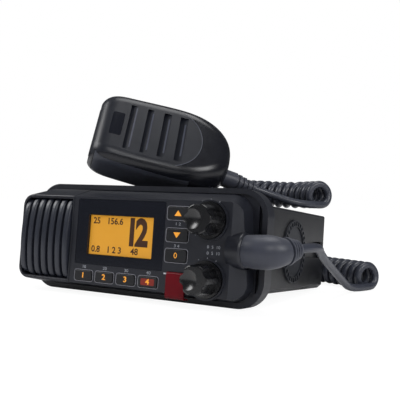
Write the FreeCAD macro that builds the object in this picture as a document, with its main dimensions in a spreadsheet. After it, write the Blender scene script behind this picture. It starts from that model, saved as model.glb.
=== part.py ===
import FreeCAD, Part
import Sketcher
import math
import os
from FreeCAD import Matrix, Placement, Rotation, Vector

# Driving dimensions in millimetres and degrees
SIZES = [
    ("bezel_width", 186.0, "front bezel, side to side"),
    ("bezel_height", 77.0, "front bezel, bottom to top"),
    ("rim_corner", 18.0, "corner radius of the bezel's rim"),
    ("rim_front", 20.0, "face plane to the front of the rim"),
    ("rim_depth", 10.0, "front to back of the rim"),
    ("bead_width", 3.6, "raised bead along the rim"),
    ("bead_rise", 1.5, "how far the bead stands forward of the rim"),
    ("moat_depth", 3.0, "groove between face block and bead"),
    ("block_gap", 1.0, "left side of the face block inside the rim"),
    ("block_top_right", 174.5, "upper right corner of the face block from the left"),
    ("block_low_right", 179.5, "lower right corner of the face block from the left"),
    ("face_bottom", 7.0, "lower edge of the face plane"),
    ("face_height", 60.0, "height of the face plane"),
    ("face_corner", 8.0, "corner radius of the face plane"),
    ("facet_start", 170.0, "left side to where the face turns back"),
    ("facet_reach", 14.0, "how far the slanted facet's cut runs"),
    ("bezel_wall", 3.5, "thickness of the moulded front wall"),
    ("side_wall", 2.6, "thickness of the moulded side walls"),
    ("grille_left", 2.7, "left side to the loudspeaker opening"),
    ("grille_width", 43.8, "width of the loudspeaker opening"),
    ("grille_height", 56.0, "height of the loudspeaker opening"),
    ("fin_count", 7.0, "upright fins over the loudspeaker"),
    ("fin_pitch", 6.35, "fin to fin"),
    ("fin_thick", 4.3, "thickness of a fin"),
    ("fin_bow", 4.0, "how far the fins bow out before the face"),
    ("fin_curve", 62.0, "radius of a fin's bow"),
    ("fin_sweep", 74.0, "angle that a fin's bow turns through"),
    ("fin_root", 7.0, "face plane to the grille's back plate"),
    ("fin_round", 1.5, "round along a fin's front edges"),
    ("plate_thick", 2.0, "grille back plate"),
    ("sound_slot", 1.6, "width of a sound slot"),
    ("speaker_radius", 20.0, "loudspeaker frame radius"),
    ("window_left", 51.3, "left side to the display window"),
    ("window_bottom", 20.6, "bottom to the display window"),
    ("window_width", 71.0, "display window width"),
    ("window_height", 44.8, "display window height"),
    ("window_thick", 1.8, "display window thickness"),
    ("glass_left", 60.6, "left side to the lit glass"),
    ("glass_bottom", 27.0, "bottom to the lit glass"),
    ("glass_width", 53.0, "lit glass width"),
    ("glass_height", 28.2, "lit glass height"),
    ("glass_thick", 2.8, "lit glass thickness"),
    ("key_width", 15.6, "channel and enter keys, width"),
    ("key_height", 7.8, "channel and enter keys, height"),
    ("key_left", 124.2, "left side to the key column"),
    ("key_up_bottom", 54.5, "bottom to the up key"),
    ("key_down_bottom", 40.4, "bottom to the down key"),
    ("key_enter_bottom", 27.2, "bottom to the enter key"),
    ("row_width", 14.4, "bottom row keys, width"),
    ("row_height", 6.6, "bottom row keys, height"),
    ("row_left", 52.6, "left side to the first key of the row"),
    ("row_bottom", 9.3, "bottom to the key row"),
    ("row_pitch", 17.5, "key to key in the row"),
    ("key_corner", 1.3, "corner radius of the keys"),
    ("key_rise", 0.8, "how far the keys stand proud"),
    ("key_play", 0.3, "clearance round a key"),
    ("key_travel", 0.6, "how far a key is pressed"),
    ("key_rim", 0.9, "retaining rim round a key"),
    ("mat_thick", 1.0, "silicone keypad mat"),
    ("board_thick", 1.6, "circuit boards"),
    ("cover_left", 126.5, "left side to the red cover"),
    ("cover_width", 13.6, "red cover width"),
    ("cover_top", 20.6, "bottom to the top of the red cover"),
    ("cover_drop", 3.8, "bottom to the foot of the red cover"),
    ("cover_thick", 1.2, "red cover thickness"),
    ("cover_rise", 1.6, "red cover forward of the face plane"),
    ("cover_pin", 0.6, "radius of the red cover's hinge pin"),
    ("pin_reach", 2.4, "hinge pin beyond each side of the red cover"),
    ("notch_depth", 2.6, "depth of the notch under the red cover"),
    ("alert_button_width", 7.0, "button under the red cover"),
    ("alert_travel", 0.9, "how far that button is pressed"),
    ("knob_across", 154.7, "left side to the knob axes"),
    ("volume_up", 54.8, "bottom to the upper knob axis"),
    ("squelch_up", 17.9, "bottom to the lower knob axis"),
    ("knob_skirt", 11.6, "knob skirt radius"),
    ("knob_grip", 10.4, "knob grip radius"),
    ("knob_nose", 9.4, "radius of the knob's flat front"),
    ("knob_length", 15.0, "skirt to front of a knob"),
    ("knob_skirt_thick", 2.2, "knob skirt thickness"),
    ("knob_gap", 0.5, "knob skirt to face plane"),
    ("flute_count", 6.0, "scallops round a knob"),
    ("flute_radius", 5.0, "radius of a scallop"),
    ("flute_centre", 12.9, "knob axis to the centre of a scallop"),
    ("dimple_radius", 11.0, "sphere that dishes the finger dimple"),
    ("dimple_deep", 1.9, "depth of the finger dimple"),
    ("dimple_offset", 3.4, "knob axis to the dimple's middle"),
    ("collar_ring_out", 13.0, "ring round a knob skirt, outside radius"),
    ("collar_ring_in", 12.0, "ring round a knob skirt, inside radius"),
    ("collar_ring_rise", 1.4, "height of that ring"),
    ("shaft_radius", 3.0, "knob shaft radius"),
    ("shaft_play", 0.05, "running clearance round a shaft"),
    ("pot_side", 12.0, "control body behind a knob"),
    ("pot_depth", 8.0, "control body depth"),
    ("gasket_thick", 1.5, "seal between bezel and chassis"),
    ("chassis_width", 172.0, "chassis, side to side"),
    ("chassis_lift", 9.0, "bezel bottom to chassis bottom"),
    ("chassis_height", 56.5, "chassis without its top cover"),
    ("chassis_back", 165.0, "face plane to the chassis back"),
    ("chassis_wall", 6.0, "cast side walls"),
    ("chassis_floor", 3.0, "cast floor and end walls"),
    ("chassis_corner", 5.0, "upright corners of the chassis"),
    ("post_radius", 3.0, "posts under the main board"),
    ("post_height", 5.0, "height of those posts"),
    ("screw_head", 2.6, "screw head radius"),
    ("cover_plate", 2.5, "top cover thickness"),
    ("cover_round", 1.6, "round along the top cover's edges"),
    ("recess_start", 118.0, "face plane to the side recess"),
    ("recess_length", 36.0, "side recess, front to back"),
    ("recess_bottom", 33.5, "bottom to the side recess"),
    ("recess_height", 13.0, "side recess height"),
    ("recess_depth", 3.4, "side recess depth"),
    ("boss_back", 89.0, "face plane to the side boss"),
    ("boss_up", 38.0, "bottom to the side boss"),
    ("boss_radius", 23.0, "toothed side boss, outside radius"),
    ("boss_tooth_root", 18.4, "toothed side boss, inside of the teeth"),
    ("boss_rise", 1.4, "side boss proud of the chassis"),
    ("boss_teeth", 30.0, "teeth round the side boss"),
    ("boss_spigot", 8.0, "spigot of the side boss in the wall"),
    ("thread_radius", 2.5, "threaded hole in the side boss"),
    ("boot_back", 8.0, "face plane to the lead boot's axis"),
    ("boot_up", 37.2, "bottom to the lead boot's axis"),
    ("boot_start", 167.6, "left side to the boot collar's root"),
    ("boot_collar_radius", 11.6, "boot collar radius"),
    ("boot_radius", 10.15, "boot radius at its root"),
    ("cord_radius", 3.0, "radius of the cord"),
    ("socket_radius", 7.9, "antenna socket thread, outside radius"),
    ("socket_length", 12.0, "antenna socket barrel"),
    ("gland_radius", 6.0, "power lead gland radius"),
    ("sink_width", 96.0, "rear heat sink width"),
    ("sink_height", 40.0, "rear heat sink height"),
    ("sink_depth", 9.0, "rear heat sink depth"),
    ("sink_fins", 13.0, "rear heat sink fins"),
    ("sink_fin_thick", 2.4, "rear heat sink fin thickness"),
    ("origin_setback", 51.85, "origin behind the bezel's rear foot"),
    ("handset_length", 105.0, "handset, top end to cord end"),
    ("handset_width", 66.0, "handset width"),
    ("handset_thick", 35.0, "handset thickness"),
    ("handset_across", -15.8, "handset's middle right of the bezel's middle"),
    ("handset_back", 63.0, "face plane to the handset's middle"),
    ("handset_up", 42.1, "lid to the handset's middle"),
    ("handset_yaw", 38.0, "handset turned from side to side"),
    ("handset_pitch", 10.0, "cord end lower than the top end"),
    ("handset_tilt", 28.0, "handset face turned up"),
    ("louvre_count", 4.0, "louvres over the microphone"),
    ("louvre_start", -30.5, "handset's middle to the first louvre"),
    ("louvre_pitch", 12.8, "louvre to louvre"),
    ("louvre_width", 6.2, "louvre slope"),
    ("louvre_depth", 3.4, "louvre wall"),
    ("louvre_reach", 20.5, "half length of a louvre"),
    ("badge_left", -42.6, "handset's middle to the bare plate"),
    ("badge_width", 9.0, "bare plate width"),
    ("badge_height", 21.0, "bare plate height"),
    ("badge_deep", 5.2, "seat of the bare plate below the face"),
    ("capsule_radius", 5.0, "microphone capsule radius"),
    ("lever_travel", 1.6, "how far the talk lever is pressed"),
    ("lever_deep", 8.0, "talk lever depth"),
    ("gland_root", 7.0, "handset gland radius at its root"),
    ("gland_tip", 4.6, "handset gland radius at its tip"),
    ("gland_length", 34.0, "handset gland length"),
    ("gland_drop_side", 8.0, "gland toward the talk lever side"),
    ("gland_drop_back", 4.0, "gland toward the back"),
    ("gland_down", 8.0, "gland turned down from the handset's line"),
    ("gland_back", 90.0, "share of that turn toward the back"),
    ("boot_collar_length", 10.0, "boot collar length"),
    ("boot_length", 24.0, "boot, collar to neck"),
    ("boot_turn", 64.0, "how far the boot bends back"),
    ("boot_rise", 9.0, "how far the boot bends up"),
    ("boot_rib", 2.6, "boot neck, rib to rib"),
    ("curl_radius", 8.6, "middle of a curl to the middle of its wire"),
    ("curl_gap", 0.75, "least gap from curl to curl"),
    ("lead_reach", 18.0, "straight start of the lower run at the boot"),
    ("ring_reach", 22.0, "straight end of the lower run at the curls"),
    ("gland_reach", 20.0, "straight ends of the upper run"),
]


# Middle line of the curls, lower ring to upper ring, and the lower run's corners
COIL_ROUTE = [(122.0, 94.5, 11.8), (101.0, 105.5, 11.8), (70.0, 118.5, 12.2), (30.0, 124.5, 14.0),
              (-8.0, 124.0, 18.0), (-30.0, 117.0, 46.0), (-12.0, 104.0, 77.0),
              (22.0, 95.0, 77.0), (48.0, 95.0, 75.8), (64.0, 93.5, 76.5), (83.5, 80.0, 77.0)]
LOWER_ROUTE = [(113.0, -14.0, 36.0), (110.5, 24.0, 23.0), (111.0, 52.0, 11.5)]
OUTPUT_FOLDER = "parts"


class Size:
    """A size with its value in millimetres or degrees and the sheet formula behind it."""

    def __init__(self, value, formula):
        self.value = value
        self.formula = formula

    def __add__(self, other):
        other = as_size(other)
        return Size(self.value + other.value, f"({self.formula} + {other.formula})")

    def __sub__(self, other):
        other = as_size(other)
        return Size(self.value - other.value, f"({self.formula} - {other.formula})")

    def __mul__(self, other):
        other = as_size(other)
        return Size(self.value * other.value, f"({self.formula} * {other.formula})")

    def __truediv__(self, other):
        other = as_size(other)
        return Size(self.value / other.value, f"({self.formula} / {other.formula})")

    def __radd__(self, other):
        return as_size(other) + self

    def __rsub__(self, other):
        return as_size(other) - self

    def __rmul__(self, other):
        return as_size(other) * self

    def __neg__(self):
        return as_size(0.0) - self

    def __float__(self):
        return self.value


def as_size(item):
    """Turn a plain number into a size, and leave a size as it is."""
    if isinstance(item, Size):
        return item
    number = float(item)
    return Size(number, f"{number:.6f}" if number >= 0 else f"(0 - {-number:.6f})")


class Sheet:
    """The spreadsheet of driving dimensions, read as attributes."""

    def __init__(self, document):
        self.cells = document.addObject("Spreadsheet::Sheet", "Sizes")
        for row, (alias, value, note) in enumerate(SIZES, start=1):
            self.cells.set(f"A{row}", note)
            self.cells.set(f"B{row}", str(value))
            self.cells.setAlias(f"B{row}", alias)
        document.recompute()

    def __getattr__(self, alias):
        return Size(float(self.cells.get(alias)), f"Sizes.{alias}")


document = FreeCAD.newDocument("MarineRadio")
s = Sheet(document)
sub_parts = []


# Small helpers for bodies, sketches and features

def bind(thing, path, size):
    """Tie a property to its sheet formula, or set a plain number."""
    if isinstance(size, Size):
        thing.setExpression(path, size.formula)
    else:
        setattr(thing, path, size)


def new_body(label):
    """Start a sub-part as a body of its own."""
    body = document.addObject("PartDesign::Body", label)
    body.Label = label
    sub_parts.append(body)
    return body


def new_sketch(body, plane, offset=0.0):
    """Attach a sketch to one of the body's origin planes, moved along its normal."""
    sketch = body.newObject("Sketcher::SketchObject", "Profile")
    support = [item for item in body.Origin.OriginFeatures if item.Role == plane][0]
    sketch.AttachmentSupport = (support, "")
    sketch.MapMode = "FlatFace"
    offset = as_size(offset)
    sketch.AttachmentOffset = Placement(Vector(0, 0, offset.value), Rotation())
    sketch.setExpression("AttachmentOffset.Base.z", offset.formula)
    return sketch


class Drawing:
    """Lines, arcs and circles for one sketch, with the sizes that hold them."""

    def __init__(self, sketch):
        self.sketch = sketch
        self.shapes = []
        self.helpers = []
        self.constraints = []
        self.formulas = {}

    def add(self, shape, helper=False):
        """Queue a shape and return its number; helper points are construction."""
        self.shapes.append(shape)
        self.helpers.append(helper)
        return len(self.shapes) - 1

    def hold(self, *terms):
        """Queue a constraint without a size."""
        self.constraints.append(Sketcher.Constraint(*terms))

    def size(self, size, *terms):
        """Queue a constraint whose size comes from the sheet."""
        self.formulas[len(self.constraints)] = size.formula
        self.constraints.append(Sketcher.Constraint(*terms, size.value))

    def spot(self, shape, end, across, up):
        """Hold one point at its distances from the sketch's origin."""
        for kind, axis, size in (("DistanceX", -2, as_size(across)),
                                 ("DistanceY", -1, as_size(up))):
            if size.formula == as_size(0).formula:
                self.hold("PointOnObject", shape, end, axis)
            else:
                self.size(size, kind, -1, 1, shape, end)

    def finish(self):
        """Put everything into the sketch at once."""
        self.sketch.addGeometry(self.shapes, False)
        for number, helper in enumerate(self.helpers):
            if helper:
                self.sketch.toggleConstruction(number)
        self.sketch.addConstraint(self.constraints)
        for number, formula in self.formulas.items():
            self.sketch.setExpression(f"Constraints[{number}]", formula)


def draw_circle(drawing, across, up, radius):
    """Draw a circle held by its centre and radius."""
    radius = as_size(radius)
    centre = Vector(float(as_size(across)), float(as_size(up)), 0)
    circle = drawing.add(Part.Circle(centre, Vector(0, 0, 1), radius.value))
    drawing.spot(circle, 3, across, up)
    drawing.size(radius, "Radius", circle)


def corner_arc(before, corner, after, radius):
    """Work out the round in a corner: its two ends, its centre and its turn."""
    back = (before - corner).normalize()
    ahead = (after - corner).normalize()
    half = back.getAngle(ahead) / 2
    reach = radius / math.tan(half)
    centre = corner + (back + ahead).normalize() * (radius / math.sin(half))
    return corner + back * reach, corner + ahead * reach, centre, back.cross(ahead).z < 0


def draw_outline(drawing, corners):
    """Close a loop through (across, up) corners, rounded where a radius follows."""
    count = len(corners)
    points = [Vector(float(as_size(c[0])), float(as_size(c[1])), 0) for c in corners]
    radii = [as_size(c[2]) if len(c) > 2 else None for c in corners]
    rounds = []
    for i in range(count):
        if radii[i] is None:
            rounds.append((points[i], points[i], None, True))
        else:
            rounds.append(corner_arc(points[i - 1], points[i], points[(i + 1) % count],
                                     radii[i].value))
    lines = []
    for i in range(count):
        lines.append(drawing.add(Part.LineSegment(rounds[i][1], rounds[(i + 1) % count][0])))
    for i in range(count):
        arriving, leaving = lines[i - 1], lines[i]
        if radii[i] is None:
            drawing.hold("Coincident", arriving, 2, leaving, 1)
            drawing.spot(leaving, 1, corners[i][0], corners[i][1])
            continue
        first, last, centre, turns_left = rounds[i]
        start, end = (first, last) if turns_left else (last, first)
        circle = Part.Circle(centre, Vector(0, 0, 1), radii[i].value)
        arc = drawing.add(
            Part.ArcOfCircle(circle, circle.parameter(start), circle.parameter(end)))
        arc_in, arc_out = (1, 2) if turns_left else (2, 1)
        drawing.hold("Tangent", arriving, 2, arc, arc_in)
        drawing.hold("Tangent", arc, arc_out, leaving, 1)
        drawing.size(radii[i], "Radius", arc)
        point = drawing.add(Part.Point(points[i]), True)
        drawing.hold("PointOnObject", point, 1, arriving)
        drawing.hold("PointOnObject", point, 1, leaving)
        drawing.spot(point, 1, corners[i][0], corners[i][1])


def new_profile(body, plane, offset, outlines=(), circles=()):
    """Attach a sketch and draw its outlines and circles."""
    sketch = new_sketch(body, plane, offset)
    drawing = Drawing(sketch)
    for outline in outlines:
        draw_outline(drawing, outline)
    for circle in circles:
        draw_circle(drawing, *circle)
    drawing.finish()
    return sketch


def rectangle(left, bottom, width, height, radius=None):
    """Corners of an upright rectangle, anticlockwise from the lower left."""
    spots = [(left, bottom), (left + width, bottom),
             (left + width, bottom + height), (left, bottom + height)]
    return spots if radius is None else [spot + (radius,) for spot in spots]


def grown(left, bottom, width, height, radius, margin):
    """Corners of the same rectangle with a margin all round."""
    return rectangle(left - margin, bottom - margin, width + 2 * margin, height + 2 * margin,
                     radius + margin)


def add_feature(body, kind, sketch, **sizes):
    """Add a sketch-based feature and tie its sizes to the sheet."""
    feature = body.newObject(kind, kind.split("::")[1])
    feature.Profile = sketch
    for path, size in sizes.items():
        bind(feature, path, size)
    sketch.Visibility = False
    return feature


def slab(body, outlines, front, back, circles=()):
    """Add material between two depths behind the face plane."""
    sketch = new_profile(body, "XZ_Plane", -as_size(back), outlines, circles)
    return add_feature(body, "PartDesign::Pad", sketch, Length=as_size(back) - front)


def cut_back(body, outlines, front, back, circles=()):
    """Cut from one depth behind the face plane back to another."""
    sketch = new_profile(body, "XZ_Plane", -as_size(front), outlines, circles)
    return add_feature(body, "PartDesign::Pocket", sketch, Length=as_size(back) - front)


def round_edges(body, radius, wanted, chamfer=False):
    """Round or chamfer the edges of the tip that the wanted test picks."""
    document.recompute()
    tip = body.Tip
    names = [f"Edge{i}" for i, edge in enumerate(tip.Shape.Edges, start=1) if wanted(edge)]
    kind = "Chamfer" if chamfer else "Fillet"
    feature = body.newObject(f"PartDesign::{kind}", kind)
    feature.Base = (tip, names)
    bind(feature, "Size" if chamfer else "Radius", radius)
    return feature


def near(first, second):
    """Tell whether two lengths are the same to a few microns."""
    return abs(float(first) - float(second)) < 0.005


def spans(edge, axis):
    """Length of an edge's box along x, y or z."""
    box = edge.BoundBox
    return {"x": box.XLength, "y": box.YLength, "z": box.ZLength}[axis]


# Places across the bezel, from its middle

half_bezel = s.bezel_width / 2


def across(distance):
    """Turn a distance from the bezel's left side into x from its middle."""
    return distance - half_bezel


rim_back = s.rim_front + s.rim_depth
cover_hinge_up = s.cover_top - 1.4
cover_hinge_back = 1.4 - s.cover_rise
window_box = (across(s.window_left), s.window_bottom, s.window_width, s.window_height)
glass_box = (across(s.glass_left), s.glass_bottom, s.glass_width, s.glass_height)
grille_box = (across(s.grille_left), (s.bezel_height - s.grille_height) / 2 - 1.5,
              s.grille_width, s.grille_height)
knob_x = across(s.knob_across)
key_boxes = {
    "up_key": (across(s.key_left), s.key_up_bottom, s.key_width, s.key_height),
    "down_key": (across(s.key_left), s.key_down_bottom, s.key_width, s.key_height),
    "enter_key": (across(s.key_left), s.key_enter_bottom, s.key_width, s.key_height),
}
for number in range(1, 5):
    key_boxes[f"soft_key_{number}"] = (across(s.row_left) + s.row_pitch * (number - 1),
                                       s.row_bottom, s.row_width, s.row_height)
alert_box = (across(s.cover_left) + (s.cover_width - s.alert_button_width) / 2,
             s.row_bottom, s.alert_button_width, s.alert_button_width)
mat_front = s.bezel_wall + s.key_play + s.key_rim + s.key_travel + s.key_play
board_front = mat_front + s.mat_thick + s.key_play


def front_bezel():
    """Moulded front: rim with bead, raised face block, openings and notches."""
    body = new_body("front_bezel")
    rim = rectangle(-half_bezel, as_size(0), s.bezel_width, s.bezel_height, s.rim_corner)
    slab(body, [rim], s.rim_front, rim_back)

    # Raised face block, which leans in from the rim to the face plane
    back_left = -half_bezel + s.block_gap
    top_right, low_right = across(s.block_top_right), across(s.block_low_right)
    face_top = s.face_bottom + s.face_height
    block_low, block_top = s.bead_width, s.bezel_height - s.bead_width
    block_corner = s.rim_corner - s.bead_width
    block_back = new_profile(body, "XZ_Plane", -s.rim_front, [[
        (back_left, block_low, block_corner), (low_right, block_low, block_corner),
        (top_right, block_top, block_corner), (back_left, block_top, block_corner)]])
    block_front = new_profile(body, "XZ_Plane", 0.0, [[
        (back_left, s.face_bottom, s.face_corner), (low_right, s.face_bottom, s.face_corner),
        (top_right, face_top, s.face_corner), (back_left, face_top, s.face_corner)]])
    loft = body.newObject("PartDesign::AdditiveLoft", "FaceBlock")
    loft.Profile = block_back
    loft.Sections = [block_front]
    loft.Ruled = True

    # Bead along the rim and the groove inside it on the right
    bead_inner = rectangle(-half_bezel + s.bead_width, s.bead_width,
                           s.bezel_width - 2 * s.bead_width,
                           s.bezel_height - 2 * s.bead_width, s.rim_corner - s.bead_width)
    slab(body, [rim, bead_inner], s.rim_front - s.bead_rise, s.rim_front)
    moat_left = low_right
    moat = rectangle(moat_left, block_low + block_corner / 2,
                     half_bezel - s.bead_width - moat_left,
                     s.bezel_height - 2 * block_low - block_corner)
    cut_back(body, [moat], s.rim_front, s.rim_front + s.moat_depth)

    # Facet that turns back from the face plane on the right
    facet_x = across(s.facet_start)
    facet = new_profile(body, "XY_Plane", s.bezel_height + 1, [[
        (facet_x - 1, as_size(-1)), (facet_x + s.facet_reach, as_size(-1)),
        (facet_x + s.facet_reach, s.facet_reach)]])
    add_feature(body, "PartDesign::Pocket", facet, Length=s.bezel_height + 2)

    # Hollow behind the face, and the loudspeaker opening
    grille_right = grille_box[0] + grille_box[2]
    hollow_left = grille_right + s.side_wall
    hollow_low = s.face_bottom + 1.0
    hollow = rectangle(hollow_left, hollow_low, facet_x - 1 - hollow_left,
                       face_top - s.side_wall - hollow_low)
    sketch = new_profile(body, "XZ_Plane", -rim_back, [hollow])
    pocket = add_feature(body, "PartDesign::Pocket", sketch, Length=rim_back - s.bezel_wall)
    pocket.Reversed = True
    speaker_hole = rectangle(*grille_box)
    cut_back(body, [speaker_hole], as_size(-1), rim_back + 1)

    # Seats for the window, the lit glass, the keys and the shafts
    seat = grown(*window_box, s.key_corner, s.key_play / 2)
    cut_back(body, [seat], as_size(-1), s.window_thick + 0.2)
    holes = [grown(*box, s.key_corner, s.key_play) for box in key_boxes.values()]
    holes.append(grown(*alert_box, s.key_corner, s.key_play))
    holes.append(grown(*glass_box, s.key_corner, -s.key_play))
    shaft_hole = s.shaft_radius + 0.5
    shafts = [(knob_x, s.volume_up, shaft_hole), (knob_x, s.squelch_up, shaft_hole)]
    notch = rectangle(across(s.cover_left) - s.key_play, as_size(-1),
                      s.cover_width + 2 * s.key_play, s.cover_top + s.key_play + 1)
    cut_back(body, [notch], as_size(-1), s.notch_depth)
    for hole in holes:
        cut_back(body, [hole], as_size(-1), s.bezel_wall + 0.5)
    cut_back(body, [], as_size(-1), s.bezel_wall + 0.5, shafts)

    # Rings round the knob skirts
    for up in (s.volume_up, s.squelch_up):
        ring = new_profile(body, "XZ_Plane", 0.0, circles=[
            (knob_x, up, s.collar_ring_out), (knob_x, up, s.collar_ring_in)])
        add_feature(body, "PartDesign::Pad", ring, Length=s.collar_ring_rise)

    # Bore for the boot collar, along x
    bore = new_profile(body, "YZ_Plane", across(s.boot_start), circles=[
        (s.boot_back, s.boot_up, s.boot_collar_radius + 0.1)])
    pocket = add_feature(body, "PartDesign::Pocket", bore,
                         Length=half_bezel - across(s.boot_start) + 1)
    pocket.Reversed = True

    # Hole for the red cover's hinge pin
    pin = new_profile(body, "YZ_Plane", across(s.cover_left) - s.pin_reach - 0.3, circles=[
        (cover_hinge_back, cover_hinge_up, s.cover_pin)])
    pocket = add_feature(body, "PartDesign::Pocket", pin,
                         Length=s.cover_width + 2 * s.pin_reach + 0.6)
    pocket.Reversed = True
    return body


def speaker_grille():
    """Back plate with sound slots and bowed upright fins."""
    body = new_body("speaker_grille")
    left, bottom, width, height = grille_box
    plate_left = left + s.key_play
    plate = rectangle(plate_left, bottom + s.key_play, width - 2 * s.key_play,
                      height - 2 * s.key_play)
    slab(body, [plate], s.fin_root, s.fin_root + s.plate_thick)
    low, high = bottom + s.key_play, bottom + height - s.key_play
    middle = (low + high) / 2
    root_back = s.fin_root + s.plate_thick
    section = new_sketch(body, "XY_Plane", middle)
    bind(section, "AttachmentOffset.Base.y", s.fin_curve - s.fin_bow)
    drawing = Drawing(section)
    fin_back = root_back + s.fin_bow - s.fin_curve
    draw_outline(drawing, [
        (plate_left, -s.fin_curve, s.fin_round),
        (plate_left + s.fin_thick, -s.fin_curve, s.fin_round),
        (plate_left + s.fin_thick, fin_back), (plate_left, fin_back)])
    drawing.finish()
    fin = body.newObject("PartDesign::Revolution", "Fin")
    fin.Profile = section
    fin.ReferenceAxis = (section, ["H_Axis"])
    fin.Midplane = True
    bind(fin, "Angle", s.fin_sweep)
    spread(body, fin, s.fin_count, s.fin_pitch)
    ends = [rectangle(left - 5, low - 40, width + 10, as_size(40)),
            rectangle(left - 5, high, width + 10, as_size(40))]
    cut_back(body, ends, -s.fin_bow - 5, root_back + 30)
    cut_back(body, [rectangle(left - 5, low - 20, width + 10, high - low + 40)], root_back,
             root_back + 30)
    facet = new_profile(body, "YZ_Plane", left - 5, [
        [(-s.fin_bow * 0.4, high - 6.5), (s.fin_root - 1, high + 0.5), (-s.fin_bow - 5, high + 9)],
        [(-s.fin_bow * 0.1, low + 6.5), (-s.fin_bow - 5, low - 9), (s.fin_root - 1, low - 0.5)]])
    add_feature(body, "PartDesign::Pocket", facet, Length=width + 10).Reversed = True
    slot = new_profile(body, "XZ_Plane", -s.fin_root, [rectangle(
        plate_left + s.fin_thick + (s.fin_pitch - s.fin_thick - s.sound_slot) / 2, low + 6,
        s.sound_slot, high - low - 12)])
    pocket = add_feature(body, "PartDesign::Pocket", slot, Length=s.plate_thick)
    spread(body, pocket, s.fin_count - 1, s.fin_pitch)


def spread(body, feature, count, pitch):
    """Repeat a feature along x at a steady pitch."""
    pattern = body.newObject("PartDesign::LinearPattern", "Row")
    pattern.Originals = [feature]
    axis = [item for item in body.Origin.OriginFeatures if item.Role == "X_Axis"][0]
    pattern.Direction = (axis, [""])
    bind(pattern, "Occurrences", count)
    bind(pattern, "Length", pitch * (count - 1))
    body.Tip = pattern
    return pattern


def speaker_driver():
    """Loudspeaker: frame, basket and magnet."""
    body = new_body("speaker_driver")
    left, bottom, width, height = grille_box
    spot = (left + width / 2, bottom + height / 2)
    front = s.fin_root + s.plate_thick + 0.1
    slab(body, [], front, front + 2, [spot + (s.speaker_radius,)])
    slab(body, [], front + 2, front + 8, [spot + (s.speaker_radius * 0.75,)])
    slab(body, [], front + 8, front + 13, [spot + (s.speaker_radius * 0.55,)])


def plate(label, box, corner, front, back, holes=(), circles=()):
    """A flat piece parallel to the face, with holes."""
    body = new_body(label)
    slab(body, [rectangle(*box, corner)] if corner else [rectangle(*box)], front, back)
    for hole in holes:
        cut_back(body, [hole], front, back)
    if circles:
        cut_back(body, [], front, back, circles)
    return body


def display_pieces():
    """Clear window and the lit glass in the opening behind it."""
    window = plate("display_window", window_box, s.key_corner, as_size(0.2),
                   s.window_thick + 0.2)
    round_edges(window, 0.4, lambda edge: edge.BoundBox.YMax < 0.21, chamfer=True)
    left, bottom, width, height = glass_box
    inset = 2 * s.key_play
    plate("lit_glass", (left + inset, bottom + inset, width - 2 * inset, height - 2 * inset),
          None, s.window_thick + 0.3, s.window_thick + 0.3 + s.glass_thick)


def key(label, box):
    """Key cap with its retaining rim behind the wall."""
    body = new_body(label)
    rim_front = s.bezel_wall + s.key_play
    slab(body, [rectangle(*box, s.key_corner)], -s.key_rise, rim_front)
    slab(body, [grown(*box, s.key_corner, s.key_rim)], rim_front, rim_front + s.key_rim)
    front = -float(s.key_rise)
    round_edges(body, 0.4, lambda edge: edge.BoundBox.YMax < front + 0.01)


def keys_and_boards():
    """Keys, the silicone mat behind them and the board that carries it."""
    for label, box in key_boxes.items():
        key(label, box)
    left = window_box[0]
    knob_right = knob_x + s.pot_side / 2
    sheet_box = (left, s.row_bottom - 0.7, knob_right - left, s.face_height - 4.5)
    glass_hole = grown(*glass_box, s.key_corner, s.key_play)
    passage = s.shaft_radius + 0.4
    circles = [(knob_x, s.volume_up, passage), (knob_x, s.squelch_up, passage)]
    plate("keypad_mat", sheet_box, s.key_corner, mat_front, mat_front + s.mat_thick,
          [glass_hole], circles)
    plate("control_board", sheet_box, s.key_corner, board_front,
          board_front + s.board_thick, [], circles)


def alert_pieces():
    """Red flip cover, its hinge pin and the button under it."""
    cover = new_body("alert_cover")
    left = across(s.cover_left)
    front = -s.cover_rise
    inner = s.cover_thick - s.cover_rise
    profile = new_profile(cover, "YZ_Plane", left, [[
        (front, s.cover_top - 1.4), (front, s.cover_drop, 2.2), (as_size(4.5), s.cover_drop - 0.8),
        (as_size(4.5), s.cover_drop + 0.3), (inner, s.cover_drop + 1.2, 1.0),
        (inner, s.cover_top - 1.4)]])
    add_feature(cover, "PartDesign::Pad", profile, Length=s.cover_width)
    barrel = new_profile(cover, "YZ_Plane", left, circles=[
        (cover_hinge_back, cover_hinge_up, as_size(1.4))])
    add_feature(cover, "PartDesign::Pad", barrel, Length=s.cover_width)
    bore = new_profile(cover, "YZ_Plane", left, circles=[
        (cover_hinge_back, cover_hinge_up, s.cover_pin + s.shaft_play)])
    pocket = add_feature(cover, "PartDesign::Pocket", bore, Length=s.cover_width)
    pocket.Reversed = True
    pin = new_body("alert_hinge_pin")
    profile = new_profile(pin, "YZ_Plane", left - s.pin_reach, circles=[
        (cover_hinge_back, cover_hinge_up, s.cover_pin)])
    add_feature(pin, "PartDesign::Pad", profile, Length=s.cover_width + 2 * s.pin_reach)
    button = new_body("alert_button")
    rim_front = s.bezel_wall + s.key_play
    slab(button, [rectangle(*alert_box, s.key_corner)], inner + s.alert_travel, rim_front)
    slab(button, [grown(*alert_box, s.key_corner, s.key_rim * 0.6)], rim_front,
         rim_front + s.key_rim)


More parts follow.
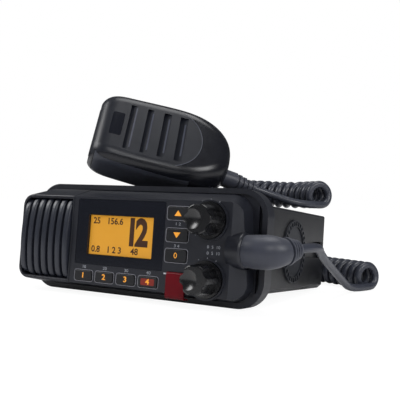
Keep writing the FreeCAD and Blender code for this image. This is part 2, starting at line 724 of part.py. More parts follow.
def knob(label, up):
    """Scalloped knob with a skirt and an off-centre finger dimple."""
    body = new_body(label)
    back = -s.knob_gap
    skirt_front = back - s.knob_skirt_thick
    front = skirt_front - s.knob_length
    slab(body, [], skirt_front, back, [(knob_x, up, s.knob_skirt)])
    grip_back = new_profile(body, "XZ_Plane", -skirt_front, circles=[(knob_x, up, s.knob_grip)])
    grip_front = new_profile(body, "XZ_Plane", -front, circles=[(knob_x, up, s.knob_nose)])
    grip = body.newObject("PartDesign::AdditiveLoft", "Grip")
    grip.Profile = grip_back
    grip.Sections = [grip_front]
    grip.Ruled = True
    nose = float(front)
    round_edges(body, 1.0, lambda edge: edge.BoundBox.YMax < nose + 0.01)
    step = 2 * math.pi / round(float(s.flute_count))
    for turn in range(round(float(s.flute_count))):
        angle = step * (turn + 0.5)
        cut_back(body, [], front - 1, skirt_front - 0.6,
                 [(knob_x + s.flute_centre * math.cos(angle),
                   up + s.flute_centre * math.sin(angle), s.flute_radius)])
    bore_end = skirt_front - s.knob_length * 0.6
    pocket = new_profile(body, "XZ_Plane", -back, circles=[(knob_x, up, s.shaft_radius)])
    bore = add_feature(body, "PartDesign::Pocket", pocket, Length=back - bore_end)
    bore.Reversed = True
    dimple = body.newObject("PartDesign::SubtractiveSphere", "Dimple")
    plane = [item for item in body.Origin.OriginFeatures if item.Role == "XY_Plane"][0]
    dimple.AttachmentSupport = (plane, "")
    dimple.MapMode = "FlatFace"
    bind(dimple, "Radius", s.dimple_radius)
    bind(dimple, "AttachmentOffset.Base.x", knob_x - s.dimple_offset)
    bind(dimple, "AttachmentOffset.Base.y", front - s.dimple_radius + s.dimple_deep)
    bind(dimple, "AttachmentOffset.Base.z", as_size(up))
    return body


def knob_sets():
    """Both knobs with their shafts and the controls that they turn."""
    inner_end = board_front + s.board_thick + s.pot_depth * 0.7
    for label, up in (("volume", s.volume_up), ("squelch", s.squelch_up)):
        knob(f"{label}_knob", up)
        shaft = new_body(f"{label}_shaft")
        outer_end = -s.knob_gap - s.knob_skirt_thick - s.knob_length * 0.6
        slab(shaft, [], outer_end, inner_end, [(knob_x, up, s.shaft_radius)])
        control = new_body(f"{label}_control")
        back = board_front + s.board_thick
        side = s.pot_side
        slab(control, [rectangle(knob_x - side / 2, up - side / 2, side, side, s.key_corner)],
             back, back + s.pot_depth)
        cut_back(control, [], back, back + s.pot_depth * 0.8,
                 [(knob_x, up, s.shaft_radius + s.shaft_play)])


half_chassis = s.chassis_width / 2
chassis_front = rim_back + s.gasket_thick
chassis_top = s.chassis_lift + s.chassis_height
inner_half = half_chassis - s.chassis_wall
inner_front = chassis_front + s.chassis_floor
inner_back = s.chassis_back - s.chassis_floor
inner_low = s.chassis_lift + s.chassis_floor


def gasket():
    """Seal between the bezel's rim and the chassis."""
    body = new_body("bezel_gasket")
    ring = (-half_chassis, s.chassis_lift, s.chassis_width, s.chassis_height + s.cover_plate)
    slab(body, [rectangle(*ring, s.chassis_corner)], rim_back, chassis_front)
    cut_back(body, [grown(*ring, s.chassis_corner, -s.chassis_wall * 0.7)], rim_back,
             chassis_front)


def chassis():
    """Cast tub: side recesses, slots, screw posts, boss bores and cable openings."""
    body = new_body("chassis")
    slab(body, [rectangle(-half_chassis, s.chassis_lift, s.chassis_width, s.chassis_height)],
         chassis_front, s.chassis_back)
    back, corner = float(s.chassis_back), float(half_chassis)
    round_edges(body, s.chassis_corner, lambda edge: spans(edge, "z") > 5
                and edge.BoundBox.YMin > back - 0.1)
    low = float(s.chassis_lift)
    round_edges(body, s.chassis_floor, lambda edge: edge.BoundBox.ZMax < low + 0.1
                and abs(edge.CenterOfMass.x) > corner - 0.1, chamfer=True)
    hollow = new_profile(body, "XY_Plane", chassis_top, [rectangle(
        -inner_half, inner_front, 2 * inner_half, inner_back - inner_front, s.chassis_floor)])
    add_feature(body, "PartDesign::Pocket", hollow, Length=chassis_top - inner_low)
    window = new_profile(body, "XZ_Plane", -chassis_front, [rectangle(
        -inner_half * 0.8, inner_low + 6, inner_half * 1.6, s.chassis_height * 0.6)])
    add_feature(body, "PartDesign::Pocket", window, Length=s.chassis_floor)
    for side in (-1, 1):
        face = side * half_chassis
        slot_pitch = s.recess_depth * 1.2
        slot_start = s.recess_start + s.recess_length + slot_pitch * 0.4
        outlines = [rectangle(s.recess_start, s.recess_bottom, s.recess_length,
                              s.recess_height)]
        for number in range(2):
            outlines.append(rectangle(slot_start + slot_pitch * number, s.recess_bottom,
                                      slot_pitch * 0.5, s.recess_height))
        recess = new_profile(body, "YZ_Plane", face, outlines)
        pocket = add_feature(body, "PartDesign::Pocket", recess, Length=s.recess_depth)
        pocket.Reversed = side < 0
        bore = new_profile(body, "YZ_Plane", face, circles=[
            (s.boss_back, s.boss_up, s.boss_spigot)])
        pocket = add_feature(body, "PartDesign::Pocket", bore, Length=s.chassis_wall)
        pocket.Reversed = side < 0
    openings = [(-inner_half * 0.62, socket_up, s.socket_radius),
                (inner_half * 0.55, gland_up, s.gland_radius)]
    cut_back(body, [], inner_back, s.chassis_back, openings)
    posts = new_profile(body, "XY_Plane", inner_low, circles=post_circles(s.post_radius))
    add_feature(body, "PartDesign::Pad", posts, Length=s.post_height)


socket_up = s.chassis_lift + s.chassis_height * 0.72
gland_up = s.chassis_lift + s.chassis_height * 0.72


def post_circles(radius):
    """Round posts under the corners of the main board."""
    reach = inner_half - s.chassis_wall * 1.5
    front, back = inner_front + s.chassis_wall * 1.5, inner_back - s.chassis_wall * 1.5
    return [(side * reach, depth, radius) for side in (-1, 1) for depth in (front, back)]


def top_cover():
    """Flat lid with rounded edges and four countersunk screws."""
    body = new_body("top_cover")
    lid = new_profile(body, "XY_Plane", chassis_top, [[
        (-half_chassis, chassis_front), (half_chassis, chassis_front),
        (half_chassis, s.chassis_back, s.chassis_corner),
        (-half_chassis, s.chassis_back, s.chassis_corner)]])
    add_feature(body, "PartDesign::Pad", lid, Length=s.cover_plate)
    top, front = float(chassis_top + s.cover_plate), float(chassis_front)
    round_edges(body, s.cover_round, lambda edge: edge.BoundBox.ZMin > top - 0.01
                and edge.BoundBox.YMax > front + 0.01)
    heads = screw_circles(s.screw_head)
    seats = new_profile(body, "XY_Plane", chassis_top + s.cover_plate, circles=heads)
    add_feature(body, "PartDesign::Pocket", seats, Length=s.cover_plate)
    screws = new_body("cover_screws")
    discs = new_profile(screws, "XY_Plane", chassis_top, circles=heads)
    add_feature(screws, "PartDesign::Pad", discs, Length=s.cover_plate - 0.3)


def screw_circles(radius):
    """Screw places near the four corners of the lid."""
    reach = half_chassis - s.chassis_wall * 0.9
    front, back = chassis_front + s.chassis_wall, s.chassis_back - s.chassis_wall * 1.3
    return [(side * reach, depth, radius) for side in (-1, 1) for depth in (front, back)]


def side_boss(label, side):
    """Toothed boss that the mounting bracket grips, with its threaded hole."""
    body = new_body(label)
    face = side * half_chassis
    spot = (s.boss_back, s.boss_up)
    disc = new_profile(body, "YZ_Plane", face, circles=[spot + (s.boss_radius,)])
    add_feature(body, "PartDesign::Pad", disc, Length=s.boss_rise).Reversed = side < 0
    spigot = new_profile(body, "YZ_Plane", face, circles=[spot + (s.boss_spigot,)])
    add_feature(body, "PartDesign::Pad", spigot, Length=s.chassis_wall).Reversed = side > 0
    top = face + side * s.boss_rise
    dish = new_profile(body, "YZ_Plane", top, circles=[
        spot + (s.boss_tooth_root,), spot + (s.boss_spigot,)])
    pocket = add_feature(body, "PartDesign::Pocket", dish, Length=s.boss_rise * 0.6)
    pocket.Reversed = side < 0
    hole = new_profile(body, "YZ_Plane", top, circles=[spot + (s.thread_radius,)])
    pocket = add_feature(body, "PartDesign::Pocket", hole, Length=s.boss_rise + s.chassis_wall)
    pocket.Reversed = side < 0
    gap_width = s.boss_radius * 0.11
    radius_span = s.boss_radius - s.boss_tooth_root
    gap = new_profile(body, "YZ_Plane", top, [rectangle(
        s.boss_back - gap_width / 2, s.boss_up + s.boss_tooth_root + radius_span * 0.12,
        gap_width, radius_span * 0.7)])
    pocket = add_feature(body, "PartDesign::Pocket", gap, Length=s.boss_rise * 0.6)
    pocket.Reversed = side < 0
    teeth = body.newObject("PartDesign::PolarPattern", "Teeth")
    teeth.Originals = [pocket]
    teeth.Axis = (hole, ["N_Axis"])
    middle = new_sketch(body, "YZ_Plane", top)
    bind(middle, "AttachmentOffset.Base.x", s.boss_back)
    bind(middle, "AttachmentOffset.Base.y", s.boss_up)
    teeth.Axis = (middle, ["N_Axis"])
    teeth.Angle = 360
    bind(teeth, "Occurrences", s.boss_teeth)
    body.Tip = teeth


def chassis_inside():
    """Main board on its posts and the shield can over the transmitter."""
    board_low = inner_low + s.post_height
    margin = s.chassis_wall / 2
    board = new_body("main_board")
    sheet = new_profile(board, "XY_Plane", board_low, [rectangle(
        -inner_half + margin, inner_front + margin, 2 * (inner_half - margin),
        inner_back - inner_front - 2 * margin)])
    add_feature(board, "PartDesign::Pad", sheet, Length=s.board_thick)
    can = new_body("shield_can")
    outline = rectangle(-inner_half * 0.7, inner_front + 14, inner_half * 0.9, 60.0,
                        s.chassis_floor)
    box = new_profile(can, "XY_Plane", board_low + s.board_thick, [outline])
    add_feature(can, "PartDesign::Pad", box, Length=s.chassis_height * 0.3)


def rear_pieces():
    """Finned heat sink, antenna socket and power lead gland."""
    sink = new_body("heat_sink")
    back = s.chassis_back
    low = s.chassis_lift + s.chassis_floor
    base = s.sink_depth * 0.3
    slab(sink, [rectangle(-s.sink_width / 2, low, s.sink_width, s.sink_height * 0.62)],
         back, back + base)
    fin = new_profile(sink, "XZ_Plane", -(back + s.sink_depth), [rectangle(
        -s.sink_width / 2, low, s.sink_fin_thick, s.sink_height * 0.62)])
    pad = add_feature(sink, "PartDesign::Pad", fin, Length=s.sink_depth - base)
    spread(sink, pad, s.sink_fins, (s.sink_width - s.sink_fin_thick) / (s.sink_fins - 1))
    socket = new_body("antenna_socket")
    spot = (-inner_half * 0.62, socket_up)
    slab(socket, [], inner_back, back, [spot + (s.socket_radius - 0.1,)])
    slab(socket, [], back, back + 1.6, [spot + (s.socket_radius * 1.5,)])
    slab(socket, [], back + 1.6, back + 1.6 + s.socket_length, [spot + (s.socket_radius,)])
    cut_back(socket, [], back + 3, back + 2.6 + s.socket_length, [
        spot + (s.socket_radius * 0.72,)])
    slab(socket, [], back + 2.5, back + s.socket_length, [spot + (s.thread_radius,)])
    cut_back(socket, [], back + 4, back + s.socket_length + 1, [spot + (as_size(1.2),)])
    gland = new_body("power_gland")
    spot = (inner_half * 0.55, gland_up)
    slab(gland, [], inner_back, back, [spot + (s.gland_radius - 0.1,)])
    slab(gland, [], back, back + 2.5, [spot + (s.gland_radius * 1.4,)])
    slab(gland, [], back + 2.5, back + 6, [spot + (s.gland_radius,)])
    cut_back(gland, [], inner_back + 2, back + 7, [spot + (s.gland_radius * 0.45,)])


# Handset: x runs to the cord end, y up across the face, z out of the face

def ring_wire(place, width, thick, corner, centre_y, centre_z):
    """Rounded rectangle across the handset at one place along it."""
    half_w, half_t = width / 2, thick / 2
    spots = [(half_w, half_t), (-half_w, half_t), (-half_w, -half_t), (half_w, -half_t)]
    turns = [(0, 90), (90, 180), (180, 270), (270, 360)]
    edges, last = [], None
    first = None
    for (wide, high), (start, end) in zip(spots, turns):
        middle_y = math.copysign(abs(wide) - corner, wide) + centre_y
        middle_z = math.copysign(abs(high) - corner, high) + centre_z
        arc_points = []
        for angle in (start, (start + end) / 2, end):
            turn = math.radians(angle)
            arc_points.append(Vector(place, middle_y + corner * math.cos(turn),
                                     middle_z + corner * math.sin(turn)))
        if last is not None:
            edges.append(Part.makeLine(last, arc_points[0]))
        edges.append(Part.Arc(*arc_points).toShape())
        first = first or arc_points[0]
        last = arc_points[2]
    edges.append(Part.makeLine(last, first))
    return Part.Wire(edges)


def handset_body():
    """Whole outside of the handset, before it is split into pieces."""
    half = s.handset_length.value / 2
    width, thick = s.handset_width.value, s.handset_thick.value
    stations = [(-1.0, 0.76, 0.58, 0.24), (-0.93, 0.88, 0.82, 0.30), (-0.6, 0.97, 0.96, 0.30),
                (0.0, 1.0, 1.0, 0.30), (0.45, 0.97, 1.02, 0.34), (0.74, 0.84, 0.98, 0.42),
                (0.92, 0.60, 0.84, 0.38), (1.0, 0.36, 0.62, 0.30)]
    wires = []
    for along, wide, deep, corner in stations:
        wires.append(ring_wire(along * half, width * wide, thick * deep, thick * corner,
                               0.0, -thick * (1 - deep) * 0.2))
    return Part.makeLoft(wires, True, False)


def handset_box(left, low, deep, length, height, thickness):
    """A plain block in the handset's own directions."""
    return Part.makeBox(length, height, thickness, Vector(left, low, deep))


def handset_place():
    """Where the handset lies: yaw, then pitch and tilt, above the lid."""
    yaw = math.radians(s.handset_yaw.value)
    pitch = math.radians(s.handset_pitch.value)
    tilt = math.radians(s.handset_tilt.value)
    along = Vector(math.cos(yaw) * math.cos(pitch), math.sin(yaw) * math.cos(pitch),
                   -math.sin(pitch))
    level = Vector(math.sin(yaw), -math.cos(yaw), 0)
    upward = along.cross(level) * -1
    if upward.z < 0:
        upward = upward * -1
    face = level * math.cos(tilt) + upward * math.sin(tilt)
    side = face.cross(along)
    turn = Matrix(along.x, side.x, face.x, 0, along.y, side.y, face.y, 0,
                  along.z, side.z, face.z, 0, 0, 0, 0, 1)
    spot = Vector(s.handset_across.value, s.handset_back.value,
                  chassis_top.value + s.cover_plate.value + s.handset_up.value)
    return stance_place().multiply(Placement(spot, Placement(turn).Rotation))


def stance_place():
    """Lean the radio back on the bezel's foot and the chassis' rear foot."""
    lean = math.degrees(math.atan2(s.chassis_lift.value, s.chassis_back.value - rim_back.value))
    turn = Rotation(Vector(1, 0, 0), -lean)
    lean_back = Placement(Vector(0, -s.origin_setback.value, 0), turn)
    return lean_back.multiply(Placement(Vector(0, -rim_back.value, 0), Rotation()))


def new_shape(label, shape, place):
    """Add a sub-part whose shape is worked out, and set it in its place."""
    feature = document.addObject("Part::Feature", label)
    feature.Label = label
    feature.Shape = shape.removeSplitter()
    feature.Placement = place
    sub_parts.append(feature)
    return feature


def round_block(left, low, deep, length, height, thickness, corner):
    """A block whose four edges along z are rounded."""
    block = handset_box(left, low, deep, length, height, thickness)
    upright = [edge for edge in block.Edges if edge.BoundBox.ZLength > thickness * 0.9]
    return block.makeFillet(corner, upright)


def handset():
    """Split the handset into shells, lever, keys, plate, capsule, stud and gland."""
    place = handset_place()
    whole = handset_body()
    half = s.handset_length.value / 2
    width, thick = s.handset_width.value, s.handset_thick.value
    play = s.key_play.value
    seam = thick * 0.20

    # Front cover with its round end, and the space it leaves in the rear shell
    end_radius = width * 0.40
    cover_end = half * 0.52
    strip = handset_box(-half - 5, -end_radius, seam, half + 5 + cover_end - end_radius,
                        2 * end_radius, thick)
    disc = Part.makeCylinder(end_radius, thick, Vector(cover_end - end_radius, 0, seam))
    region = strip.fuse(disc).removeSplitter()
    front = whole.common(region)
    rear = whole.cut(region)

    # Louvres across the front cover, each a steep wall and a slope
    face = thick / 2
    for number in range(round(s.louvre_count.value)):
        left = s.louvre_start.value + number * s.louvre_pitch.value
        deep = s.louvre_depth.value
        wedge = Part.makePolygon([Vector(left, 0, face + 1), Vector(left, 0, face - deep),
                                  Vector(left + s.louvre_width.value, 0, face + 0.2),
                                  Vector(left + s.louvre_width.value, 0, face + 1),
                                  Vector(left, 0, face + 1)])
        reach = s.louvre_reach.value
        cutter = Part.Face(wedge).extrude(Vector(0, 2 * reach, 0))
        cutter.translate(Vector(0, -reach, 0))
        front = front.cut(cutter)

    # Seat for the plain plate, and the capsule behind the cover
    badge_left = s.badge_left.value
    badge = (badge_left, -s.badge_height.value / 2, s.badge_width.value, s.badge_height.value)
    seat = round_block(badge[0], badge[1], face - s.badge_deep.value, badge[2], badge[3], 5, 1.5)
    front = front.cut(seat)
    plate_piece = whole.common(round_block(badge[0] + 0.1, badge[1] + 0.1, face - s.badge_deep.value,
                                           badge[2] - 0.2, badge[3] - 0.2, 5, 1.4))
    capsule_radius = s.capsule_radius.value
    capsule_at = Vector(s.louvre_start.value + s.louvre_pitch.value, 0, seam - 5)
    rear = rear.cut(Part.makeCylinder(capsule_radius + 0.1, 5, capsule_at))
    capsule = Part.makeCylinder(capsule_radius, 4.9, capsule_at)

    # Talk lever on the lower edge, in a pocket that leaves room for its travel
    travel = s.lever_travel.value
    lever_left, lever_right = -half * 0.93, half * 0.44
    lever_low, lever_high = -thick * 0.30, seam + thick * 0.12
    inner = -width / 2 + s.lever_deep.value
    region = handset_box(lever_left, -width, lever_low, lever_right - lever_left,
                         width + inner, lever_high - lever_low)
    lever = whole.common(region)
    pocket = handset_box(lever_left - play, -width, lever_low - play,
                         lever_right - lever_left + 2 * play, width + inner + travel + play,
                         lever_high - lever_low + 2 * play)
    rear = rear.cut(pocket)
    front = front.cut(pocket)

    # Two channel keys in the top end
    key_deep, key_wide, key_high = 4.0, width * 0.30, thick * 0.17
    for label, low in (("handset_up_key", 0.6), ("handset_down_key", -0.6 - key_wide)):
        spot = (-half - 5, low, -thick * 0.16)
        slot = handset_box(spot[0], spot[1] - play, spot[2] - play,
                           5 + key_deep + travel, key_wide + 2 * play, key_high + 2 * play)
        rear = rear.cut(slot)
        key_shape = whole.common(handset_box(*spot, 5 + key_deep, key_wide, key_high))
        key_shape.translate(Vector(-0.4, 0, 0))
        new_shape(label, key_shape, place)

    # Hang-up stud on the back and the cord gland at the lower corner of the end
    stud_at = Vector(-half * 0.35, 0, -thick / 2 + 1)
    stud = Part.makeCylinder(4.5, 6.0, stud_at, Vector(0, 0, -1))
    button = Part.makeCylinder(7.5, 2.5, stud_at + Vector(0, 0, -6), Vector(0, 0, -1))
    button = button.makeFillet(1.0, [edge for edge in button.Edges if edge.isClosed()][:1])
    stud = stud.fuse(button).cut(whole)
    gland = gland_shape()
    rear = rear.cut(gland_core(0.05))
    new_shape("handset_rear", rear, place)
    new_shape("handset_front", front, place)
    new_shape("talk_lever", lever, place)
    new_shape("name_plate", plate_piece, place)
    new_shape("mic_capsule", capsule, place)
    new_shape("hang_stud", stud, place)
    new_shape("handset_gland", gland.cut(rear), place)
    start, way = gland_axis()
    return place.multVec(start + way * s.gland_length.value), place.Rotation.multVec(way)


def gland_axis():
    """Start and direction of the handset's cord gland."""
    half = s.handset_length.value / 2
    start = Vector(half * 0.86, -s.gland_drop_side.value, -s.gland_drop_back.value)
    angle_down, angle_back = math.radians(s.gland_down.value), math.radians(s.gland_back.value)
    way = Vector(math.cos(angle_down), -math.sin(angle_down) * math.cos(angle_back),
                 -math.sin(angle_down) * math.sin(angle_back))
    return start, way.normalize()


def gland_core(margin):
    """Round core of the gland, which the rear shell takes in."""
    start, way = gland_axis()
    return Part.makeCylinder(s.gland_root.value + margin, s.gland_length.value * 0.5, start, way)


def gland_shape():
    """Ribbed, tapering gland that ends square to the cord."""
    start, way = gland_axis()
    ribs = 4
    length, root, tip = s.gland_length.value, s.gland_root.value, s.gland_tip.value
    profile = [(0, 0), (0, root)]
    rib_start = length * 0.5
    pitch = (length - rib_start) / ribs
    profile.append((rib_start, root))
    for number in range(ribs):
        share = number / (ribs - 1)
        radius = root * 0.93 + (tip - root * 0.93) * share
        near_end = rib_start + pitch * number
        profile.append((near_end + pitch * 0.15, radius * 0.8))
        profile.append((near_end + pitch * 0.40, radius * 0.8))
        profile.append((near_end + pitch * 0.50, radius))
        profile.append((near_end + pitch, radius))
    profile.append((length, 0))
    return spin_along(profile, start, way)


def spin_along(profile, start, way):
    """Spin a closed (along, out) profile about an axis."""
    points = [Vector(out, 0, along) for along, out in profile]
    wire = Part.makePolygon(points + [points[0]])
    solid = Part.Face(wire).revolve(Vector(0, 0, 0), Vector(0, 0, 1), 360)
    solid = Part.makeSolid(solid) if solid.ShapeType == "Shell" else solid
    solid.Placement = Placement(start, Rotation(Vector(0, 0, 1), way))
    return solid


# Lead boot on the bezel's right end

def boot():
    """Collar in the bezel, and the bulbous boot that bends back and up."""
    place = stance_place()
    root = Vector(across(s.boot_start).value, s.boot_back.value, s.boot_up.value)
    radius = s.boot_collar_radius.value
    reach = s.boot_collar_length.value
    collar = Part.makeCylinder(radius, reach, root, Vector(1, 0, 0))
    outer = [edge for edge in collar.Edges if near(edge.CenterOfMass.x, root.x + reach)]
    collar = collar.makeFillet(2.0, outer)
    new_shape("boot_collar", collar, place)
    base = root + Vector(reach, 0, 0)
    turn = math.radians(s.boot_turn.value)
    rise = math.radians(s.boot_rise.value)
    sections, spot, steps = [], base, 8
    bulge = [1.0, 1.02, 1.04, 1.05, 1.06, 1.04, 0.99, 0.91, 0.82]
    step = s.boot_length.value / steps
    for number in range(steps + 1):
        share = (number / steps) ** 1.4
        way = Vector(math.cos(turn * share) * math.cos(rise * share),
                     math.sin(turn * share) * math.cos(rise * share), math.sin(rise * share))
        circle = Part.makeCircle(s.boot_radius.value * bulge[number], spot, way)
        sections.append(Part.Wire([circle]))
        last_spot, last_way = Vector(spot), Vector(way)
        spot = spot + way * step
    bulb = Part.makeLoft(sections, True, False)
    neck_root = s.boot_radius.value * 0.82
    pitch = s.boot_rib.value
    profile = [(-0.5, 0), (-0.5, neck_root * 0.9)]
    ribs = 4
    for number in range(ribs):
        share = number / (ribs - 1)
        out = neck_root * (1.06 - 0.30 * share)
        profile.append((pitch * number + pitch * 0.2, out * 0.86))
        profile.append((pitch * number + pitch * 0.4, out * 0.86))
        profile.append((pitch * number + pitch * 0.5, out))
        profile.append((pitch * number + pitch, out))
    profile.append((pitch * ribs + 2.5, s.cord_radius.value * 1.35))
    profile.append((pitch * ribs + 2.5, 0))
    neck = spin_along(profile, last_spot, last_way)
    new_shape("lead_boot", bulb.fuse(neck), place)
    end = place.multVec(last_spot + last_way * (pitch * ribs + 2.5))
    way = place.Rotation.multVec(last_way)
    print("boot end", end, "way", way)
    return end, way


# Curly cord, laid out in the finished object's directions

def spline_spots(controls, count):
    """Even spots along the quadratic spline that the controls pull on."""
    corners = [Vector(*controls[0])]
    pulls = [Vector(*spot) for spot in controls[1:-1]]
    for one, two in zip(pulls, pulls[1:]):
        corners.append((one + two) * 0.5)
    corners.append(Vector(*controls[-1]))
    fine = []
    for start, pull, end in zip(corners, pulls, corners[1:]):
        for step in range(60):
            share = step / 60
            fine.append(start * (1 - share) ** 2 + pull * (2 * share * (1 - share))
                        + end * share ** 2)
    fine.append(corners[-1])
    lengths = [0.0]
    for one, two in zip(fine, fine[1:]):
        lengths.append(lengths[-1] + (two - one).Length)
    spots, at = [], 0
    for number in range(count + 1):
        wanted = lengths[-1] * number / count
        while at < len(fine) - 2 and lengths[at + 1] < wanted:
            at += 1
        share = (wanted - lengths[at]) / (lengths[at + 1] - lengths[at])
        spots.append(fine[at] + (fine[at + 1] - fine[at]) * share)
    return spots, lengths[-1]


def coil_spots(controls, radius, wire, gap):
    """Fine points of the curls, wound left-handed from bottom to bottom."""
    count = 2400
    axis, length = spline_spots(controls, count)
    step = length / count
    ways = []
    for number in range(count + 1):
        low, high = max(number - 12, 0), min(number + 12, count)
        ways.append((axis[high] - axis[low]).normalize())
    out = Vector(0, 0, -1)
    out = (out - ways[0] * out.dot(ways[0])).normalize()
    outs, phases = [out], [0.0]
    for number in range(count):
        out = (out - ways[number + 1] * out.dot(ways[number + 1])).normalize()
        outs.append(out)
        low, high = max(number - 40, 0), min(number + 40, count)
        bend = ways[low].getAngle(ways[high]) / (step * (high - low))
        pitch = (wire + gap) / (1 - radius * bend)
        phases.append(phases[-1] + 2 * math.pi * step / pitch)
    side = ways[-1].cross(outs[-1])
    down = Vector(0, 0, -1)
    wanted = -math.atan2(down.dot(side), down.dot(outs[-1]))
    turns = math.floor((phases[-1] - wanted) / (2 * math.pi))
    scale = (wanted + 2 * math.pi * turns) / phases[-1]
    spots = []
    for number in range(count + 1):
        angle = -phases[number] * scale
        side = ways[number].cross(outs[number])
        spots.append(axis[number] + outs[number] * (radius * math.cos(angle))
                     + side * (radius * math.sin(angle)))
    return spots, [phase * scale for phase in phases]


def slope_at(spots, at):
    """Direction of a line of even spots at one of them."""
    if at == 0:
        return spots[1] * 4 - spots[0] * 3 - spots[2]
    if at == len(spots) - 1:
        return spots[at] * 3 - spots[at - 1] * 4 + spots[at - 2]
    return spots[at + 1] - spots[at - 1]


def biarc(start, start_way, end, end_way):
    """Two arcs that leave and arrive in the given directions."""
    span = end - start
    total = start_way + end_way
    below = 2 * (1 - start_way.dot(end_way))
    across_span = span.dot(total)
    if below < 1e-9:
        reach = span.dot(span) / (4 * span.dot(end_way))
    else:
        root = across_span * across_span + below * span.dot(span)
        reach = (math.sqrt(root) - across_span) / below
    middle = (start + end + (start_way - end_way) * reach) * 0.5
    arcs = []
    for begin, way, finish in ((start, start_way, middle), (end, end_way * -1, middle)):
        chord = finish - begin
        bow = chord - way * chord.dot(way)
        radius = chord.dot(chord) / (2 * bow.Length)
        centre = begin + bow.normalize() * radius
        halfway = (begin + finish) * 0.5 - centre
        apex = centre + halfway.normalize() * radius
        arcs.append((begin, apex, finish))
    first, second = arcs
    return [first, (second[2], second[1], second[0])]


def sweep(edges, start, way, radius):
    """Round tube along edges that join smoothly."""
    path = Part.Wire(edges)
    section = Part.Wire([Part.makeCircle(radius, start, way)])
    return path.makePipeShell([section], True, False)


def cord_coil():
    """Curls with a straight end at the bottom of each end ring."""
    wire, radius = s.cord_radius.value * 2, s.curl_radius.value
    fine, phases = coil_spots(COIL_ROUTE, radius, wire, s.curl_gap.value)
    count = round(phases[-1] / (math.pi / 2))
    wanted = [phases[-1] * number / count for number in range(count + 1)]
    spots, ways, at = [], [], 0
    for phase in wanted:
        while at < len(phases) - 2 and phases[at + 1] < phase:
            at += 1
        share = (phase - phases[at]) / (phases[at + 1] - phases[at])
        share = min(max(share, 0.0), 1.0)
        spots.append(fine[at] + (fine[at + 1] - fine[at]) * share)
        ways.append((slope_at(fine, at) * (1 - share)
                     + slope_at(fine, at + 1) * share).normalize())
    edges = [Part.makeLine(spots[0] - ways[0] * wire, spots[0])]
    tightest = 1e9
    for number in range(len(spots) - 1):
        for arc in biarc(spots[number], ways[number], spots[number + 1], ways[number + 1]):
            edge = Part.Arc(*arc).toShape()
            tightest = min(tightest, edge.Curve.Radius)
            edges.append(edge)
    edges.append(Part.makeLine(spots[-1], spots[-1] + ways[-1] * wire))
    tube = sweep(edges, spots[0] - ways[0] * wire, ways[0], s.cord_radius.value)
    new_shape("cord_coil", tube, Placement())
    length = sum(edge.Length for edge in edges)
    print("coil curls", phases[-1] / 2 / math.pi, "length", length, "tightest", tightest,
          "volume share", tube.Volume / (math.pi * s.cord_radius.value ** 2 * length))
    print("coil least gap", least_gap(edges) - wire)
    return (spots[0] - ways[0] * wire, ways[0]), (spots[-1] + ways[-1] * wire, ways[-1])


def least_gap(edges):
    """Least distance between the curls' middle line and itself, one curl on."""
    marks, run = [], 0.0
    for edge in edges:
        steps = max(2, round(edge.Length / 1.5))
        for number in range(steps):
            marks.append((run + edge.Length * number / steps,
                          edge.valueAt(edge.FirstParameter + (edge.LastParameter
                                       - edge.FirstParameter) * number / steps)))
        run += edge.Length
    least = 1e9
    far = 3.5 * s.curl_radius.value
    for number, (here, spot) in enumerate(marks):
        for there, other in marks[number + 1:]:
            if there - here > far and there - here < 30 * far:
                least = min(least, (spot - other).Length)
    return least


def plain_run(label, corners):
    """Straight runs joined by arcs, as one tube."""
    spots = [Vector(corner) for corner in corners]
    edges, at, radii = [], spots[0], []
    for before, corner, after in zip(spots, spots[1:], spots[2:]):
        come, leave = (corner - before), (after - corner)
        shorter = min(come.Length, leave.Length)
        come, leave = come.normalize(), leave.normalize()
        turn = come.getAngle(leave)
        reach = 0.45 * shorter
        radius = reach / math.tan(turn / 2)
        start, end = corner - come * reach, corner + leave * reach
        inward = (leave - come).normalize()
        centre = corner + inward * math.sqrt(radius ** 2 + reach ** 2)
        edges.append(Part.makeLine(at, start))
        edges.append(Part.Arc(start, centre - inward * radius, end).toShape())
        radii.append(radius)
        at = end
    edges.append(Part.makeLine(at, spots[-1]))
    way = (spots[1] - spots[0]).normalize()
    tube = sweep(edges, spots[0], way, s.cord_radius.value)
    new_shape(label, tube, Placement())
    length = sum(edge.Length for edge in edges)
    share = tube.Volume / (math.pi * s.cord_radius.value ** 2 * length)
    print(label, "length", round(length, 1), "radii", [round(radius, 1) for radius in radii],
          "volume share", round(share, 4))
    print(label, "corners", [tuple(round(value, 2) for value in spot) for spot in spots])


def cords(boot_end, boot_way, gland_end, gland_way):
    """Lower run, curls and upper run."""
    lower, upper = cord_coil()
    near_spot, near_way = lower
    lower_corners = [boot_end, boot_end + boot_way * s.lead_reach.value]
    lower_corners += [Vector(*spot) for spot in LOWER_ROUTE]
    lower_corners += [near_spot - near_way * s.ring_reach.value, near_spot]
    plain_run("cord_lower_run", lower_corners)
    far_spot, far_way = upper
    upper_corners = [gland_end, gland_end + gland_way * s.gland_reach.value,
                     far_spot + far_way * s.gland_reach.value, far_spot]
    plain_run("cord_upper_run", upper_corners)


def build():
    """Make every sub-part."""
    front_bezel()
    speaker_grille()
    speaker_driver()
    display_pieces()
    keys_and_boards()
    alert_pieces()
    knob_sets()
    gasket()
    chassis()
    top_cover()
    side_boss("side_boss_right", 1)
    side_boss("side_boss_left", -1)
    chassis_inside()
    rear_pieces()
    document.recompute()
    for part in sub_parts:
        part.Placement = stance_place()
    gland_end, gland_way = handset()
    boot_end, boot_way = boot()
    cords(boot_end, boot_way, gland_end, gland_way)
    document.recompute()


